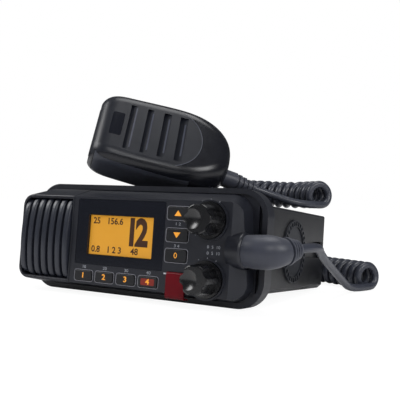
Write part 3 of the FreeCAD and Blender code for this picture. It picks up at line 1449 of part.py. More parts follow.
def check_document():
    """Stop if an object failed, and if a cut added or a pad removed material."""
    for item in document.Objects:
        if "Invalid" in item.State or "Error" in item.State:
            raise RuntimeError(f"{item.Label} is {item.State}")
    for part in sub_parts:
        if part.Shape.isNull() or not part.Shape.isValid():
            raise RuntimeError(f"{part.Label} has no valid shape")
        before = 0.0
        for feature in getattr(part, "Group", []):
            if not feature.isDerivedFrom("PartDesign::Feature"):
                continue
            volume = feature.Shape.Volume
            if feature.isDerivedFrom("PartDesign::Pocket") and volume >= before:
                raise RuntimeError(f"{feature.Label} of {part.Label} cuts nothing")
            if feature.isDerivedFrom("PartDesign::Pad") and volume <= before:
                raise RuntimeError(f"{feature.Label} of {part.Label} adds nothing")
            before = volume


def write_parts():
    """Write each sub-part's shape to a file of its own."""
    os.makedirs(OUTPUT_FOLDER, exist_ok=True)
    for part in sub_parts:
        part.Shape.exportStep(os.path.join(OUTPUT_FOLDER, f"{part.Label}.step"))
        print(part.Label, round(part.Shape.Volume), len(part.Shape.Solids))


build()
check_document()
write_parts()
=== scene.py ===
"""Marine radio with its fist handset lying on the lid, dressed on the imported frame."""

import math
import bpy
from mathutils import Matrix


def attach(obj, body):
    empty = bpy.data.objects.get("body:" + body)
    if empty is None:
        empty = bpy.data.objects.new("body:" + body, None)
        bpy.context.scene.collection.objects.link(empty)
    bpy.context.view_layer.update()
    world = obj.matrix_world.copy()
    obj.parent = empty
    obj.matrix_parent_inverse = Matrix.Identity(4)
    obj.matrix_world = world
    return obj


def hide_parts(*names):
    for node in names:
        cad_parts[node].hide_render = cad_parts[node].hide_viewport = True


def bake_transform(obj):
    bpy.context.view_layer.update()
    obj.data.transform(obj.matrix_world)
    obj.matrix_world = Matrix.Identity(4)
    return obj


bl_info = {
    "name": "Marine Radio",
    "version": (1, 0, 0),
    "blender": (4, 5, 0),
    "location": "View3D > Sidebar > Radio",
    "description": "Marine radio, its handset and its curly cord",
    "category": "Object",
}

import bmesh
import bpy
from mathutils import Matrix, Vector
from mathutils.bvhtree import BVHTree

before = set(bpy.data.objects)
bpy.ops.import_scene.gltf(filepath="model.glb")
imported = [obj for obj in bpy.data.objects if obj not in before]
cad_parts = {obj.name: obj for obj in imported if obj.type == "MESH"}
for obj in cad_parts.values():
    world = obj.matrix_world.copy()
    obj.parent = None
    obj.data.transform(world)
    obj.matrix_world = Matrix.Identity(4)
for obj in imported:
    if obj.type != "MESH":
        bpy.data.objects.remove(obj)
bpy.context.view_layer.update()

# The radio leans back on the bezel's foot and the chassis' rear foot
LEAN = math.atan2(9.0, 135.0)
STANCE = (Matrix.Translation((0, -0.05185, 0)) @ Matrix.Rotation(-LEAN, 4, "X")
          @ Matrix.Translation((0, -0.030, 0)))
# On a front panel x runs right, y up and z towards the reader
PANEL = STANCE @ Matrix(((1, 0, 0, 0), (0, 0, -1, 0), (0, 1, 0, 0), (0, 0, 0, 1)))

# Places on the panel, in metres from the middle of the bezel's lower edge
PANEL_LEFT = -0.093
KEY_COLUMN = PANEL_LEFT + 0.1242 + 0.0078
COLUMN_BOTTOMS = (0.0545, 0.0404, 0.0272)
ROW_START, ROW_PITCH, ROW_HALF_KEY = 0.0526, 0.0175, 0.0072
ROW_MIDDLE = 0.0093 + 0.0033
KNOB_ACROSS, KNOB_HEIGHTS = 0.0617, (0.0548, 0.0179)
KEY_MARK_BACK, KEY_MARK_FRONT = 0.00078, 0.00088
PRINT_BACK, PRINT_FRONT = -0.00002, 0.00005
# Middle of the loudspeaker's opening, the first fin and the step from fin to fin
GRILLE_ACROSS, GRILLE_UP = -0.06877, 0.0370
FIN_COUNT, FIN_START, FIN_PITCH = 7, -0.0899, 0.00635
FIN_STEPS = 16

HANDSET_SPOT = Vector((-0.0158, 0.063, 0.1101))
HANDSET_YAW, HANDSET_PITCH, HANDSET_TILT = (math.radians(value) for value in (38, 10, 28))

# Middle line of the curls and corners of the plain runs, in metres
LOWER_RUN = [(0.11123, -0.05093, 0.04059), (0.11902, -0.03480, 0.04233), (0.1130, -0.0140, 0.0360),
             (0.1105, 0.0240, 0.0230), (0.1110, 0.0520, 0.0115), (0.11226, 0.06824, 0.00345)]
COIL_ROUTE = [(0.1220, 0.0945, 0.0118), (0.1010, 0.1055, 0.0118), (0.0700, 0.1185, 0.0122),
              (0.0300, 0.1245, 0.0140), (-0.0080, 0.1240, 0.0180), (-0.0300, 0.1170, 0.0460),
              (-0.0120, 0.1040, 0.0770), (0.0220, 0.0950, 0.0770), (0.0480, 0.0950, 0.0758),
              (0.0640, 0.0935, 0.0765), (0.0835, 0.0800, 0.0770)]
UPPER_RUN = [(0.08091, 0.07456, 0.06842), (0.07179, 0.05676, 0.06846), (0.05508, 0.04982, 0.07409),
             (0.04140, 0.03636, 0.07973)]


class RadioSizes(bpy.types.PropertyGroup):
    """Sizes and numbers that a user would change."""

    cord_diameter: bpy.props.FloatProperty(
        name="Cord diameter", description="Outside diameter of the cord", default=0.006,
        subtype="DISTANCE")
    curl_radius: bpy.props.FloatProperty(
        name="Curl radius", description="Middle of a curl to the middle of its wire",
        default=0.0086, subtype="DISTANCE")
    curl_gap: bpy.props.FloatProperty(
        name="Curl gap", description="Least gap from curl to curl", default=0.00075,
        subtype="DISTANCE")
    big_digit: bpy.props.FloatProperty(
        name="Channel digits", description="Height of the channel number", default=0.0175,
        subtype="DISTANCE")
    small_digit: bpy.props.FloatProperty(
        name="Small digits", description="Height of the display's small numbers",
        default=0.0042, subtype="DISTANCE")
    legend_height: bpy.props.FloatProperty(
        name="Key number", description="Height of the numbers on the keys", default=0.0036,
        subtype="DISTANCE")
    line_width: bpy.props.FloatProperty(
        name="Printed line", description="Width of the printed lines", default=0.00045,
        subtype="DISTANCE")
    channel: bpy.props.StringProperty(
        name="Channel", description="Number that the display shows", default="12")


def sizes():
    return bpy.context.scene.radio_sizes


def colour(text):
    """Turn an sRGB hex value into linear values with an alpha of one."""
    parts = [int(text[at:at + 2], 16) / 255 for at in (1, 3, 5)]
    linear = [part / 12.92 if part <= 0.04045 else ((part + 0.055) / 1.055) ** 2.4
              for part in parts]
    return (*linear, 1.0)


def add_node(tree, kind, settings=None, links=None):
    """Add one node, set its sockets or properties, and link its inputs."""
    made = tree.nodes.new(kind)
    for name, value in (settings or {}).items():
        if isinstance(name, int) or name in made.inputs:
            made.inputs[name].default_value = value
        else:
            setattr(made, name, value)
    for name, output in (links or {}).items():
        tree.links.new(output, made.inputs[name])
    return made


def new_material(name):
    """Empty node material with its output node."""
    made = bpy.data.materials.new(name)
    made.use_nodes = True
    made.node_tree.nodes.clear()
    return made, made.node_tree, add_node(made.node_tree, "ShaderNodeOutputMaterial")


def moulded(name, dark, light, rough, grain, depth, patch=9.0, metal=0.0, coat=0.0, spec=0.5,
            sheen=0.0, glow=0.0, ior=1.46):
    """Surface with a fine grain in millimetres, and a slow change of tone and gloss."""
    made, tree, output = new_material(name)
    place = add_node(tree, "ShaderNodeTexCoord").outputs["Object"]
    slow = add_node(tree, "ShaderNodeTexNoise", {"Scale": 1000 / patch, "Detail": 3.0},
                    {"Vector": place}).outputs["Fac"]
    fine = add_node(tree, "ShaderNodeTexNoise", {"Scale": 1000 / grain, "Detail": 2.0},
                    {"Vector": place}).outputs["Fac"]
    tone = add_node(tree, "ShaderNodeMix", {"data_type": "RGBA", 6: colour(dark),
                                            7: colour(light)}, {0: slow})
    gloss = add_node(tree, "ShaderNodeMapRange", {"To Min": rough * 0.86, "To Max": rough * 1.14},
                     {"Value": slow}).outputs["Result"]
    relief = add_node(tree, "ShaderNodeBump", {"Strength": 0.6, "Distance": depth / 1000},
                      {"Height": fine}).outputs["Normal"]
    settings = {"Metallic": metal, "Coat Weight": coat, "Coat Roughness": 0.2,
                "Specular IOR Level": spec, "Sheen Weight": sheen, "Sheen Roughness": 0.5}
    if metal == 0.0:
        settings["IOR"] = ior
    if glow:
        settings["Emission Color"] = colour(light)
        settings["Emission Strength"] = glow
    shader = add_node(tree, "ShaderNodeBsdfPrincipled", settings,
                      {"Base Color": tone.outputs[2], "Roughness": gloss, "Normal": relief})
    tree.links.new(shader.outputs[0], output.inputs["Surface"])
    return made


def make_finishes():
    """Every finish of the radio, by the name of what the real part is made of."""
    made = {}
    # Spark-eroded ABS: satin, with a grain of about a third of a millimetre
    made["case_abs"] = moulded("spark_eroded_abs", "#191b22", "#20222a", 0.36, 0.35, 0.03)
    # Finer, darker ABS of the grille; the fins' lighter copy of it is a painted highlight of the
    # soft light on them
    made["grille_abs"] = moulded("grille_abs", "#15171d", "#1c1e26", 0.32, 0.45, 0.02)
    made["fin_abs_painted_highlight"] = moulded("fin_abs_painted_highlight", "#23262e", "#2e313b", 0.30, 0.45, 0.02)
    # Die-cast box with powder coat: fine orange peel of about a millimetre
    made["powder_coat"] = moulded("powder_coat", "#0d0e11", "#131418", 0.40, 0.9, 0.05, coat=0.15)
    made["lid_paint"] = moulded("baked_enamel", "#0e0f13", "#14151b", 0.34, 1.3, 0.03, coat=0.2)
    # Glass-filled nylon of the toothed side bosses
    made["boss_nylon"] = moulded("glass_filled_nylon", "#181a20", "#22252c", 0.42, 0.3, 0.03)
    # Soft-touch paint over the knobs, under a thin clear coat
    made["soft_touch"] = moulded("soft_touch_knob", "#08080a", "#0e0f12", 0.27, 0.25, 0.006,
                                 spec=0.6, coat=0.25)
    # Silicone keys
    made["key_silicone"] = moulded("key_silicone", "#0f1013", "#17181c", 0.38, 0.3, 0.01)
    made["mat_silicone"] = moulded("mat_silicone", "#0c0d0f", "#141518", 0.6, 0.6, 0.02)
    # Acrylic window, painted black from behind round the lit glass
    made["black_acrylic"] = moulded("black_acrylic", "#14161d", "#181a22", 0.12, 6.0, 0.002,
                                    patch=40.0, spec=0.5)
    made["lit_amber"] = moulded("backlit_amber", "#b07a22", "#c08828", 0.30, 5.0, 0.001,
                                patch=30.0, glow=0.50)
    made["lcd_ink"] = moulded("liquid_crystal_ink", "#3c2212", "#472a18", 0.35, 1.0, 0.001)
    # Tinted polycarbonate of the flip cover
    made["red_cover"] = moulded("tinted_polycarbonate", "#560510", "#6e0a18", 0.30, 3.0, 0.004,
                                spec=0.18)
    made["legend_orange"] = moulded("orange_legend", "#e8942c", "#f6a838", 0.4, 0.5, 0.001,
                                    glow=0.25)
    made["print_grey"] = moulded("pad_print_grey", "#8d9098", "#a5a8b0", 0.5, 0.5, 0.002)
    made["print_dim"] = moulded("pad_print_dim", "#82828a", "#94949c", 0.5, 0.5, 0.002)
    # Painted highlights: light strips on the louvres' edges and along the cover's seam; lit backs
    # of the small marks
    made["louvre_paint_highlight"] = moulded("painted_louvre_highlight", "#3a3d48", "#484b58", 0.35, 0.4, 0.01)
    made["painted_seam_line"] = moulded("painted_seam_highlight", "#4c4f5a", "#5c5f6a", 0.4, 0.4, 0.005)
    made["lit_red"] = moulded("lit_red_key", "#6c1c12", "#7c2216", 0.4, 0.5, 0.001, glow=0.15)
    # Handset shells: satin ABS, a little bluer than the panel
    made["handset_abs"] = moulded("handset_abs", "#0f1016", "#16181f", 0.26, 0.4, 0.025)
    made["front_abs"] = moulded("handset_front_abs", "#15171e", "#1d2028", 0.36, 0.4, 0.025)
    made["grip_rubber"] = moulded("grip_rubber", "#2c2f38", "#383b46", 0.40, 0.35, 0.03, sheen=0.1)
    made["boot_rubber"] = moulded("boot_rubber", "#2c2f39", "#383b47", 0.42, 0.45, 0.02,
                                  sheen=0.15)
    # Polyurethane jacket of the curly cord, with the soft gloss of extruded plastic
    made["cord_jacket"] = moulded("polyurethane_jacket", "#2e313a", "#3b3e49", 0.36, 1.2, 0.02,
                                  patch=14.0, coat=0.1)
    # Plated and bare metals of screws, shafts and the can
    made["black_zinc"] = moulded("black_zinc", "#3c3d42", "#55565c", 0.35, 0.3, 0.01, metal=1.0)
    made["bare_steel"] = moulded("turned_steel", "#8e9096", "#b2b4ba", 0.3, 0.25, 0.01, metal=1.0)
    made["tin_can"] = moulded("tinned_sheet", "#a4a6a8", "#c2c4c6", 0.3, 1.5, 0.02, metal=1.0)
    made["nickel"] = moulded("nickel_plate", "#b4b0a6", "#d0ccc0", 0.2, 0.6, 0.005, metal=1.0)
    made["anodised"] = moulded("black_anodised_aluminium", "#1a1b1e", "#26272b", 0.38, 0.25, 0.01,
                               metal=0.7)
    made["solder_mask"] = moulded("solder_mask", "#12301f", "#1a4029", 0.35, 1.0, 0.01)
    made["inner_plastic"] = moulded("plain_black_plastic", "#101113", "#191a1d", 0.5, 0.5, 0.02)
    return made


NODE_FINISH = {
    "front_bezel": "case_abs", "speaker_grille": "grille_abs", "speaker_driver": "inner_plastic",
    "lit_glass": "lit_amber", "up_key": "key_silicone", "down_key": "key_silicone",
    "enter_key": "key_silicone", "soft_key_1": "key_silicone", "soft_key_2": "key_silicone",
    "soft_key_3": "key_silicone", "soft_key_4": "key_silicone", "keypad_mat": "mat_silicone",
    "control_board": "solder_mask", "alert_cover": "red_cover", "alert_hinge_pin": "bare_steel",
    "alert_button": "red_cover", "volume_knob": "soft_touch", "squelch_knob": "soft_touch",
    "volume_shaft": "bare_steel", "squelch_shaft": "bare_steel",
    "volume_control": "inner_plastic", "squelch_control": "inner_plastic",
    "bezel_gasket": "mat_silicone", "chassis": "powder_coat", "top_cover": "lid_paint",
    "cover_screws": "black_zinc", "side_boss_right": "boss_nylon", "side_boss_left": "boss_nylon",
    "main_board": "solder_mask", "shield_can": "tin_can", "heat_sink": "anodised",
    "antenna_socket": "nickel", "power_gland": "mat_silicone", "handset_rear": "handset_abs",
    "handset_front": "front_abs", "talk_lever": "grip_rubber", "name_plate": "black_acrylic",
    "mic_capsule": "inner_plastic", "handset_up_key": "key_silicone",
    "handset_down_key": "key_silicone", "hang_stud": "bare_steel",
    "handset_gland": "boot_rubber", "boot_collar": "case_abs", "lead_boot": "boot_rubber",
    "display_window": "black_acrylic",
}
FINISH = {}


def finish_piece(name, mesh, finish, body, stands_for=()):
    """Link a mesh as a piece that rides on a body and takes a slot's finish."""
    piece = bpy.data.objects.new(name, mesh)
    bpy.context.scene.collection.objects.link(piece)
    mesh.name = name
    mesh.materials.clear()
    mesh.materials.append(FINISH[finish])
    if body:
        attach(piece, body)
    if stands_for:
        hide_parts(*stands_for)
    return piece


def mesh_from(shape, smooth=False):
    """Mesh from a bmesh, with its faces turned outwards."""
    bmesh.ops.recalc_face_normals(shape, faces=shape.faces)
    for face in shape.faces:
        face.smooth = smooth
    mesh = bpy.data.meshes.new("piece")
    shape.to_mesh(mesh)
    shape.free()
    return mesh


def rounded(shape, across, up, width, height, radius, low, high):
    """Add a rounded plate lying in x and y from z low to high."""
    made = bmesh.new()
    bmesh.ops.create_grid(made, x_segments=1, y_segments=1, size=0.5)
    bmesh.ops.scale(made, vec=(width, height, 1), verts=made.verts)
    if radius:
        bmesh.ops.bevel(made, geom=list(made.verts), offset=radius, segments=5, profile=0.5,
                        affect="VERTICES", material=-1)
    grown = bmesh.ops.extrude_face_region(made, geom=list(made.faces))
    moved = [part for part in grown["geom"] if isinstance(part, bmesh.types.BMVert)]
    bmesh.ops.translate(made, vec=(0, 0, high - low), verts=moved)
    bmesh.ops.translate(made, vec=(across, up, low), verts=made.verts)
    add_shape(shape, made)


def add_shape(shape, other, place=None):
    """Add another bmesh to a bmesh, and free it."""
    if place is not None:
        bmesh.ops.transform(other, matrix=place, verts=other.verts)
    mesh = bpy.data.meshes.new("part")
    other.to_mesh(mesh)
    other.free()
    shape.from_mesh(mesh)
    bpy.data.meshes.remove(mesh)


def outline(left, right, low, high, left_round, right_round, level):
    """Points round a rounded frame on the panel, as many whatever its size."""
    spots = []
    corners = ((right, high, -1, -1, right_round), (left, high, 1, -1, left_round),
               (left, low, 1, 1, left_round), (right, low, -1, 1, right_round))
    for at, (across, up, inward, rise, radius) in enumerate(corners):
        centre = Vector((across + inward * radius, up + rise * radius, level))
        for step in range(9):
            turn = math.radians(90 * at + 90 * step / 8)
            spots.append(centre + radius * Vector((math.cos(turn), math.sin(turn), 0)))
    return spots


def skin(shape, rows, ring=True, join=False):
    """Add quads between rows of points; a ring closes each row, a join the rows."""
    made = [[shape.verts.new(spot) for spot in row] for row in rows]
    count = len(rows[0])
    pairs = list(zip(made, made[1:])) + ([(made[-1], made[0])] if join else [])
    for first, second in pairs:
        for at in range(count if ring else count - 1):
            after = (at + 1) % count
            shape.faces.new((first[at], first[after], second[after], second[at]))
    return made


def rim(shape, across, up, width, height, radius, line, low, high):
    """Add a thin raised line round a rounded box on the panel."""
    rows = []
    for inset, level in ((0, low), (0, high), (line, high), (line, low)):
        wide, tall = width / 2 - inset, height / 2 - inset
        rows.append(outline(across - wide, across + wide, up - tall, up + tall,
                            radius - inset, radius - inset, level))
    skin(shape, rows, join=True)


def bar(shape, start, end, width, low, high):
    """Add a flat bar between two places in x and y."""
    start, end = Vector(start), Vector(end)
    along = end - start
    made = bmesh.new()
    bmesh.ops.create_cube(made, size=1.0)
    bmesh.ops.scale(made, vec=(along.length, width, high - low), verts=made.verts)
    middle = (start + end) / 2
    turn = Matrix.Rotation(math.atan2(along.y, along.x), 4, "Z")
    place = Matrix.Translation((middle.x, middle.y, (low + high) / 2)) @ turn
    add_shape(shape, made, place)


def arrow(shape, across, up, width, height, low, high):
    """Add a triangle whose point is up, or down if the height is negative."""
    made = bmesh.new()
    bmesh.ops.create_circle(made, cap_ends=True, radius=1.0, segments=3)
    grown = bmesh.ops.extrude_face_region(made, geom=list(made.faces))
    moved = [part for part in grown["geom"] if isinstance(part, bmesh.types.BMVert)]
    bmesh.ops.translate(made, vec=(0, 0, high - low), verts=moved)
    reach = max(abs(vert.co.x) for vert in made.verts)
    bmesh.ops.scale(made, vec=(width / 2 / reach, height / 1.5, 1), verts=made.verts)
    add_shape(shape, made, Matrix.Translation((across, up - height / 6, low)))


def number(shape, text, across, up, height, low, high, width=1.0, weight=0.0):
    """Add a plain number, centred on a place, as a thin raised mesh."""
    curve = bpy.data.curves.new("number", "FONT")
    curve.body = text
    curve.align_x, curve.align_y = "CENTER", "CENTER"
    curve.size = height / 0.70
    curve.extrude = (high - low) / 2
    curve.resolution_u = 3
    curve.offset = weight
    holder = bpy.data.objects.new("number", curve)
    bpy.context.scene.collection.objects.link(holder)
    bpy.context.view_layer.update()
    mesh = bpy.data.meshes.new_from_object(holder.evaluated_get(
        bpy.context.evaluated_depsgraph_get()))
    mesh.transform(Matrix.Translation((across, up, (low + high) / 2))
                   @ Matrix.Diagonal((width, 1, 1, 1)))
    shape.from_mesh(mesh)
    bpy.data.objects.remove(holder)
    bpy.data.curves.remove(curve)
    bpy.data.meshes.remove(mesh)


def row_key(at):
    """Middle of a key of the bottom row, counted from zero at the left."""
    return PANEL_LEFT + ROW_START + ROW_PITCH * at + ROW_HALF_KEY


def panel_piece(name, shape, finish, body, stands_for=(), place=PANEL):
    """Finish a shape that was drawn on the front panel."""
    bmesh.ops.transform(shape, matrix=place, verts=shape.verts)
    return finish_piece(name, mesh_from(shape), finish, body, stands_for)


def line_points(points, steps):
    """Points along the spline that the route's points pull on."""
    curve = bpy.data.curves.new("route", "CURVE")
    curve.dimensions = "3D"
    curve.resolution_u = steps
    spline = curve.splines.new("NURBS")
    fill_spline(spline, points)
    holder = bpy.data.objects.new("route", curve)
    bpy.context.scene.collection.objects.link(holder)
    bpy.context.view_layer.update()
    mesh = bpy.data.meshes.new_from_object(holder.evaluated_get(
        bpy.context.evaluated_depsgraph_get()))
    found = [vert.co.copy() for vert in mesh.vertices]
    bpy.data.objects.remove(holder)
    bpy.data.curves.remove(curve)
    bpy.data.meshes.remove(mesh)
    return found


def fill_spline(spline, points):
    """Give a spline its points, and then its order."""
    spline.points.add(len(points) - 1)
    for point, spot in zip(spline.points, points):
        point.co = (*spot, 1.0)
    spline.order_u = 3
    spline.use_endpoint_u = True


def curl_points(route, radius, wire, gap, per_turn=14):
    """Points of the curls round the route, left-handed, from bottom to bottom."""
    line = line_points(route, 120)
    lengths = [0.0]
    for one, two in zip(line, line[1:]):
        lengths.append(lengths[-1] + (two - one).length)
    last = len(line) - 1
    ways = [(line[min(at + 3, last)] - line[max(at - 3, 0)]).normalized()
            for at in range(last + 1)]
    out = Vector((0, 0, -1))
    out = (out - ways[0] * out.dot(ways[0])).normalized()
    outs, phases = [out], [0.0]
    for at in range(last):
        out = (out - ways[at + 1] * out.dot(ways[at + 1])).normalized()
        outs.append(out)
        low, high = max(at - 18, 0), min(at + 18, last)
        bend = ways[low].angle(ways[high], 0.0) / (lengths[high] - lengths[low])
        pitch = (wire + gap) / (1 - radius * bend)
        phases.append(phases[-1] + 2 * math.pi * (lengths[at + 1] - lengths[at]) / pitch)
    down = Vector((0, 0, -1))
    side = ways[-1].cross(outs[-1])
    wanted = -math.atan2(down.dot(side), down.dot(outs[-1]))
    turns = math.floor((phases[-1] - wanted) / (2 * math.pi))
    total = wanted + 2 * math.pi * turns
    scale = total / phases[-1]
    count = round(total / (2 * math.pi) * per_turn)
    # The spline cuts inside its points, so they stand out by that much
    radius = radius / math.cos(math.pi / per_turn) ** 0.5
    found, at = [], 0
    for step in range(count + 1):
        phase = total * step / count / scale
        while at < last - 1 and phases[at + 1] < phase:
            at += 1
        share = min(max((phase - phases[at]) / (phases[at + 1] - phases[at]), 0.0), 1.0)
        middle = line[at].lerp(line[at + 1], share)
        out = outs[at].lerp(outs[at + 1], share).normalized()
        side = ways[at].cross(out)
        angle = -phase * scale
        found.append(middle + out * (radius * math.cos(angle)) + side * (radius * math.sin(angle)))
    return found


def tube_curve(name, points, diameter, steps):
    """Curve of one open spline with a round bevel and closed ends."""
    curve = bpy.data.curves.new(name, "CURVE")
    curve.dimensions = "3D"
    curve.resolution_u = steps
    curve.bevel_depth = diameter / 2
    curve.bevel_resolution = 4
    curve.use_fill_caps = True
    fill_spline(curve.splines.new("NURBS"), points)
    curve.materials.append(FINISH["cord_jacket"])
    piece = bpy.data.objects.new(name, curve)
    bpy.context.scene.collection.objects.link(piece)
    return piece


class RADIO_OT_finishes(bpy.types.Operator):
    """Give every part of the frame its finish"""

    bl_idname = "radio.finishes"
    bl_label = "Finishes"

    def execute(self, context):
        FINISH.update(make_finishes())
        for name, finish in NODE_FINISH.items():
            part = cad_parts[name]
            part.data.materials.clear()
            part.data.materials.append(FINISH[finish])
        return {"FINISHED"}


class RADIO_OT_cords(bpy.types.Operator):
    """Add the lower run with the curls, and the upper run to the handset"""

    bl_idname = "radio.cords"
    bl_label = "Cords"

    def execute(self, context):
        size = sizes()
        wire = size.cord_diameter
        curls = curl_points(COIL_ROUTE, size.curl_radius, wire, size.curl_gap)
        # A curl's own direction carries on straight into the plain runs
        points = [Vector(spot) for spot in LOWER_RUN] + curls + [Vector(UPPER_RUN[0])]
        cord = tube_curve("curly_cord", points, wire, 4)
        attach(cord, "radio")
        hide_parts("cord_lower_run", "cord_coil")

        run = tube_curve("handset_cord", UPPER_RUN, wire, 24)
        context.view_layer.update()
        mesh = bpy.data.meshes.new_from_object(run.evaluated_get(
            context.evaluated_depsgraph_get()))
        bpy.data.objects.remove(run)
        run = finish_piece("handset_cord", mesh, "cord_jacket", "", ("cord_upper_run",))
        path = line_points(UPPER_RUN, 24)
        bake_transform(run)
        return {"FINISHED"}


class RADIO_OT_display(bpy.types.Operator):
    """Add the window's black border and what the lit glass shows"""

    bl_idname = "radio.display"
    bl_label = "Display"

    def execute(self, context):
        size = sizes()
        left, bottom, width, height = -0.0324, 0.0270, 0.0530, 0.0282
        middle = (left + width / 2, bottom + height / 2)
        border = bmesh.new()
        window = (-0.0417 + 0.0355, 0.0206 + 0.0224)
        border_hole(border, window, (0.071, 0.0448), middle, (width - 0.0004, height - 0.0004),
                    -0.0020, -0.0002)
        panel_piece("window_border", border, "black_acrylic", "radio",
                    ("display_window",))
        ink = bmesh.new()
        low = -0.0021 + 0.00002
        high = low + 0.00006
        for digit, across in zip(size.channel, (0.0352, 0.0430)):
            number(ink, digit, left + across, middle[1] + 0.0022, size.big_digit, low, high, 0.80,
                   0.0010)
        top_line, low_line = height - 0.0045, 0.0042
        for text, across, up in (("25", 0.0058, top_line), ("156.6", 0.0210, top_line),
                                 ("0.8", 0.0062, low_line), ("1 2 3", 0.0215, low_line),
                                 ("48", 0.0380, low_line)):
            number(ink, text, left + across, bottom + up, size.small_digit, low, high, 1.0,
                   0.00012)
        panel_piece("display_digits", ink, "lcd_ink", "radio")
        return {"FINISHED"}


def border_hole(shape, centre, outer, hole_centre, hole, low, high):
    """Plate with a rounded outside, and an opening bridged to it."""
    made = bmesh.new()
    rims = []
    for (across, up), (width, height), radius in ((centre, outer, 0.0014),
                                                  (hole_centre, hole, 0.0010)):
        plate = bmesh.new()
        bmesh.ops.create_grid(plate, x_segments=1, y_segments=1, size=0.5)
        bmesh.ops.scale(plate, vec=(width, height, 1), verts=plate.verts)
        bmesh.ops.bevel(plate, geom=list(plate.verts), offset=radius, segments=4, profile=0.5,
                        affect="VERTICES", material=-1)
        bmesh.ops.delete(plate, geom=list(plate.faces), context="FACES_ONLY")
        add_shape(made, plate, Matrix.Translation((across, up, low)))
    bmesh.ops.bridge_loops(made, edges=list(made.edges))
    grown = bmesh.ops.extrude_face_region(made, geom=list(made.faces))
    moved = [part for part in grown["geom"] if isinstance(part, bmesh.types.BMVert)]
    bmesh.ops.translate(made, vec=(0, 0, high - low), verts=moved)
    add_shape(shape, made)


class RADIO_OT_grille(bpy.types.Operator):
    """Add the moulded surround of the loudspeaker and its bowed upright fins"""

    bl_idname = "radio.grille"
    bl_label = "Grille"

    def execute(self, context):
        cowl = bmesh.new()
        skin(cowl, [outline(-0.09235, -0.0456, 0.0036, 0.0732, 0.0142, 0.0010, -0.0184),
                    outline(-0.09235, -0.0456, 0.0066, 0.0674, 0.0084, 0.0010, -0.0004),
                    outline(-0.09215, -0.0457, 0.0069, 0.0671, 0.0081, 0.0010, 0.0003),
                    outline(-0.09180, -0.0460, 0.0073, 0.0667, 0.0078, 0.0010, 0.0005),
                    outline(-0.09100, -0.0466, 0.0081, 0.0659, 0.0069, 0.0010, 0.0005),
                    outline(-0.09065, -0.0469, 0.0085, 0.0655, 0.0065, 0.0010, 0.0001),
                    outline(-0.09065, -0.0469, 0.0085, 0.0655, 0.0065, 0.0010, -0.0068)],
             join=True)
        panel_piece("grille_surround", cowl, "case_abs", "radio")
        fins = bmesh.new()
        rounded(fins, GRILLE_ACROSS, GRILLE_UP, 0.0430, 0.0560, 0.004, -0.0090, -0.0070)
        root, wide, edge = -0.0072, 0.0043, 0.0013
        for at in range(FIN_COUNT):
            left = FIN_START + FIN_PITCH * at
            right = left + wide
            reach = 0.0262 if at == 0 else 0.0280
            rows = []
            for step in range(2 * FIN_STEPS + 1):
                share = step / FIN_STEPS - 1
                front = 0.0039 - 0.0036 * share ** 2 - 0.0030 * share ** 12
                up = GRILLE_UP + share * reach
                row = [Vector((left, up, root))]
                for turn in range(0, 91, 18):
                    angle = math.radians(turn)
                    row.append(Vector((left + edge * (1 - math.cos(angle)), up,
                                       front - edge * (1 - math.sin(angle)))))
                for turn in range(90, -1, -18):
                    angle = math.radians(turn)
                    row.append(Vector((right - edge * (1 - math.cos(angle)), up,
                                       front - edge * (1 - math.sin(angle)))))
                row.append(Vector((right, up, root)))
                rows.append(row)
            made = skin(fins, rows)
            fins.faces.new(made[0])
            fins.faces.new(made[-1])
        # The fins and their back plate take the lighter copy of the ABS: a painted highlight
        panel_piece("grille_fins", fins, "fin_abs_painted_highlight", "radio", ("speaker_grille",))
        return {"FINISHED"}


class RADIO_OT_key_marks(bpy.types.Operator):
    """Add the numbers and arrows on the keys"""

    bl_idname = "radio.key_marks"
    bl_label = "Key marks"

    def execute(self, context):
        size = sizes()
        low, high = KEY_MARK_BACK, KEY_MARK_FRONT
        for name, up, height in (("up_key", 0.0584, 0.0036), ("down_key", 0.0443, -0.0036)):
            mark = bmesh.new()
            arrow(mark, KEY_COLUMN, up, 0.0052, height, low, high)
            panel_piece(name + "_arrow", mark, "legend_orange", name)
        mark = bmesh.new()
        number(mark, "0", KEY_COLUMN, 0.0311, size.legend_height, low, high)
        panel_piece("enter_key_number", mark, "legend_orange", "enter_key")
        for at in range(1, 5):
            mark = bmesh.new()
            across = row_key(at - 1)
            number(mark, str(at), across, ROW_MIDDLE, size.legend_height, low, high, 1.15,
                   0.0001)
            name = "soft_key_%d" % at
            if at == 4:
                lit = bmesh.new()
                rounded(lit, across, 0.0126, 0.0104, 0.0044, 0.0008, low, low + 0.00006)
                panel_piece("soft_key_4_glow", lit, "lit_red", name)
            panel_piece(name + "_number", mark, "legend_orange", name)
        return {"FINISHED"}


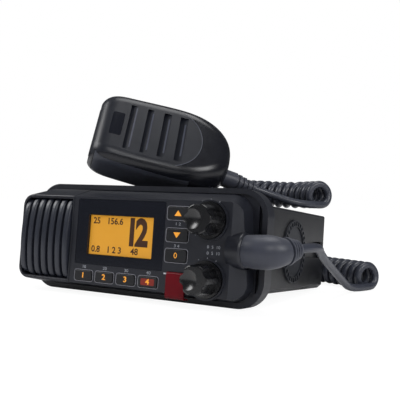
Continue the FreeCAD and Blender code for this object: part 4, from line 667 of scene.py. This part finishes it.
class RADIO_OT_face_marks(bpy.types.Operator):
    """Add the lines round the keys, and the ticks and numbers printed on the face"""

    bl_idname = "radio.face_marks"
    bl_label = "Face marks"

    def execute(self, context):
        size = sizes()
        low, high = PRINT_BACK, PRINT_FRONT
        rims = bmesh.new()
        for up in COLUMN_BOTTOMS:
            rim(rims, KEY_COLUMN, up + 0.0039, 0.0172, 0.0094, 0.0019, size.line_width * 0.7,
                low, high)
        for at in range(4):
            rim(rims, row_key(at), ROW_MIDDLE, 0.0160, 0.0082, 0.0019, size.line_width * 0.7,
                low, high)
        panel_piece("key_rims", rims, "print_dim", "radio")
        ticks = bmesh.new()
        for up in KNOB_HEIGHTS:
            for step in range(11):
                angle = math.radians(225 - 27 * step)
                if not 40 < math.degrees(angle) < 230:
                    continue
                near_end, far_end = 0.01265, 0.0137
                way = Vector((math.cos(angle), math.sin(angle)))
                spot = Vector((KNOB_ACROSS, up))
                bar(ticks, spot + way * near_end, spot + way * far_end, 0.0005, low, high)
        for at in range(4):
            number(ticks, "%d" % (10 * at + 10), row_key(at), 0.0185, 0.0020, low, high, 1.2)
        for text, up in (("1 2", 0.0514), ("3 4", 0.0373)):
            number(ticks, text, KEY_COLUMN, up, 0.0018, low, high, 1.3)
        for text, up in (("0  5  10", 0.0382), ("0  5  10", 0.0344)):
            number(ticks, text, 0.0655, up, 0.0019, low, high, 1.1)
        panel_piece("face_ticks", ticks, "print_grey", "radio")
        return {"FINISHED"}


def handset_place():
    """The handset's own frame: x to the cord, y up its face, z out of it."""
    along = Vector((math.cos(HANDSET_YAW) * math.cos(HANDSET_PITCH),
                    math.sin(HANDSET_YAW) * math.cos(HANDSET_PITCH), -math.sin(HANDSET_PITCH)))
    level = Vector((math.sin(HANDSET_YAW), -math.cos(HANDSET_YAW), 0))
    upward = level.cross(along)
    face = level * math.cos(HANDSET_TILT) + upward * math.sin(HANDSET_TILT)
    side = face.cross(along)
    turn = Matrix((along, side, face)).transposed().to_4x4()
    return STANCE @ Matrix.Translation(HANDSET_SPOT) @ turn


def drape(shape, names, place, way, rise):
    """Press a thin shape's points along a direction onto CAD nodes, keeping its own thickness."""
    trees = []
    for name in names:
        solid = bmesh.new()
        solid.from_mesh(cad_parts[name].data)
        trees.append(BVHTree.FromBMesh(solid))
        solid.free()
    bmesh.ops.transform(shape, matrix=place, verts=shape.verts)
    out = (place.to_3x3() @ Vector(way)).normalized()
    for vert in shape.verts:
        depth = place.inverted() @ vert.co
        lift = depth.dot(Vector(way))
        start = vert.co + out * 0.05
        spots = [tree.ray_cast(start, -out)[0] for tree in trees]
        spots = [spot for spot in spots if spot is not None]
        if spots:
            top = max(spots, key=lambda spot: spot.dot(out))
            vert.co = top + out * (lift + rise)


class RADIO_OT_handset_trim(bpy.types.Operator):
    """Add painted highlights: light strips along the louvres' edges and along the seam round the
    cover
    """

    bl_idname = "radio.handset_trim"
    bl_label = "Handset trim"

    def execute(self, context):
        place = handset_place()
        # Light strips along each louvre's edge, a painted highlight
        edges = bmesh.new()
        for at in range(4):
            left = -0.0305 + 0.0128 * at + 0.0046
            reach = 0.0185 - 0.0012 * at
            for step in range(12):
                start = -reach + step * reach / 6
                bar(edges, (left, start), (left, start + reach / 6), 0.0011, 0.0, 0.0002)
        drape(edges, ["handset_front"], place, (0, 0, 1), 0.00002)
        finish_piece("louvre_highlight_strips", mesh_from(edges), "louvre_paint_highlight", "handset")
        # A light line round the cover's edge, a painted highlight along its seam
        seam = bmesh.new()
        for step in range(28):
            start, end = (math.radians(-70 + 5 * number) for number in (step, step + 1))
            middle = Vector((0.0273 - 0.0264, 0.0))
            bar(seam, middle + Vector((math.cos(start), math.sin(start))) * 0.0264,
                middle + Vector((math.cos(end), math.sin(end))) * 0.0264, 0.0004, 0.0, 0.00012)
        drape(seam, ["handset_front", "handset_rear"], place, (0, 0, 1), 0.00002)
        finish_piece("cover_seam_painted_light", mesh_from(seam), "painted_seam_line", "handset")
        return {"FINISHED"}


class RADIO_OT_stage(bpy.types.Operator):
    """Add the floor, the lamps, the world and the camera"""

    bl_idname = "radio.stage"
    bl_label = "Stage"

    def execute(self, context):
        scene = context.scene
        scene.view_settings.view_transform = "Standard"
        floor_mesh = bpy.data.meshes.new("floor")
        shape = bmesh.new()
        bmesh.ops.create_grid(shape, x_segments=1, y_segments=1, size=4.0)
        shape.to_mesh(floor_mesh)
        shape.free()
        floor = bpy.data.objects.new("floor", floor_mesh)
        scene.collection.objects.link(floor)
        floor_mesh.materials.append(pale_floor())
        world = bpy.data.worlds.new("studio")
        scene.world = world
        world.use_nodes = True
        tree = world.node_tree
        tree.nodes.clear()
        rays = add_node(tree, "ShaderNodeLightPath")
        seen = add_node(tree, "ShaderNodeBackground", {"Color": (1, 1, 1, 1), "Strength": 1.0})
        light = add_node(tree, "ShaderNodeBackground", {"Color": (0.93, 0.95, 1, 1),
                                                        "Strength": 0.12})
        mixed = add_node(tree, "ShaderNodeMixShader", None,
                         {0: rays.outputs["Is Camera Ray"], 1: light.outputs[0],
                          2: seen.outputs[0]})
        add_node(tree, "ShaderNodeOutputWorld", None, {"Surface": mixed.outputs[0]})
        lamps = (("softbox_left", (-0.80, -0.55, 0.80), 0.6, 8.0),
                 ("softbox_top", (0.10, 0.15, 1.10), 0.6, 4.5),
                 ("softbox_right", (0.95, -0.20, 0.55), 0.4, 4.0),
                 ("softbox_front", (0.75, -1.0, 0.75), 0.4, 4.0))
        for name, spot, width, power in lamps:
            lamp = bpy.data.lights.new(name, "AREA")
            lamp.shape = "SQUARE"
            lamp.size = width
            lamp.energy = power
            holder = bpy.data.objects.new(name, lamp)
            scene.collection.objects.link(holder)
            holder.location = spot
            aim = Vector((0.0, 0.0, 0.06)) - Vector(spot)
            holder.rotation_euler = aim.to_track_quat("-Z", "Y").to_euler()
        camera = bpy.data.cameras.new("view")
        camera.sensor_width = 36.0
        camera.lens = 58.22
        camera.clip_start = 0.01
        holder = bpy.data.objects.new("view", camera)
        scene.collection.objects.link(holder)
        holder.location = (0.2451, -0.4384, 0.0699)
        holder.rotation_euler = [math.radians(value) for value in (89.909, -1.993, 27.923)]
        scene.camera = holder
        return {"FINISHED"}


def pale_floor():
    """White to the camera, with the object's own shadow left on it."""
    made, tree, output = new_material("pale_floor")
    rays = add_node(tree, "ShaderNodeLightPath")
    place = add_node(tree, "ShaderNodeTexCoord").outputs["Object"]
    paper = add_node(tree, "ShaderNodeTexNoise", {"Scale": 300.0}, {"Vector": place})
    relief = add_node(tree, "ShaderNodeBump", {"Strength": 0.1, "Distance": 0.0001},
                      {"Height": paper.outputs["Fac"]})
    matt = add_node(tree, "ShaderNodeBsdfDiffuse", {"Color": (0.93, 0.93, 0.94, 1)},
                    {"Normal": relief.outputs["Normal"]})
    white = add_node(tree, "ShaderNodeEmission", {"Color": (1, 1, 1, 1), "Strength": 1.1})
    away = add_node(tree, "ShaderNodeVectorMath", {"operation": "LENGTH"}, {0: place})
    fade = add_node(tree, "ShaderNodeMapRange", {"From Min": 0.15, "From Max": 0.45,
                                                 "To Min": 0.84, "To Max": 1.0},
                    {"Value": away.outputs["Value"]})
    share = add_node(tree, "ShaderNodeMath", {"operation": "MULTIPLY"},
                     {0: rays.outputs["Is Camera Ray"], 1: fade.outputs["Result"]})
    mixed = add_node(tree, "ShaderNodeMixShader", None,
                     {0: share.outputs[0], 1: matt.outputs[0], 2: white.outputs[0]})
    tree.links.new(mixed.outputs[0], output.inputs["Surface"])
    return made


class RADIO_PT_panel(bpy.types.Panel):
    """Sidebar panel that lists the radio's operators"""

    bl_idname = "RADIO_PT_panel"
    bl_label = "Marine Radio"
    bl_space_type = "VIEW_3D"
    bl_region_type = "UI"
    bl_category = "Radio"

    def draw(self, context):
        size = context.scene.radio_sizes
        for name in size.bl_rna.properties.keys():
            if name not in ("rna_type", "name"):
                self.layout.prop(size, name)
        for operator in OPERATORS:
            self.layout.operator(operator.bl_idname)


OPERATORS = (RADIO_OT_finishes, RADIO_OT_stage, RADIO_OT_cords, RADIO_OT_display,
             RADIO_OT_grille, RADIO_OT_key_marks, RADIO_OT_face_marks, RADIO_OT_handset_trim)
CLASSES = (RadioSizes,) + OPERATORS + (RADIO_PT_panel,)


def register():
    for part in CLASSES:
        bpy.utils.register_class(part)
    bpy.types.Scene.radio_sizes = bpy.props.PointerProperty(type=RadioSizes)


def unregister():
    del bpy.types.Scene.radio_sizes
    for part in reversed(CLASSES):
        bpy.utils.unregister_class(part)


def main():
    register()
    bpy.ops.radio.finishes()
    bpy.ops.radio.stage()
    bpy.ops.radio.cords()
    bpy.ops.radio.display()
    bpy.ops.radio.grille()
    bpy.ops.radio.key_marks()
    bpy.ops.radio.face_marks()
    bpy.ops.radio.handset_trim()


if __name__ == "__main__":
    main()
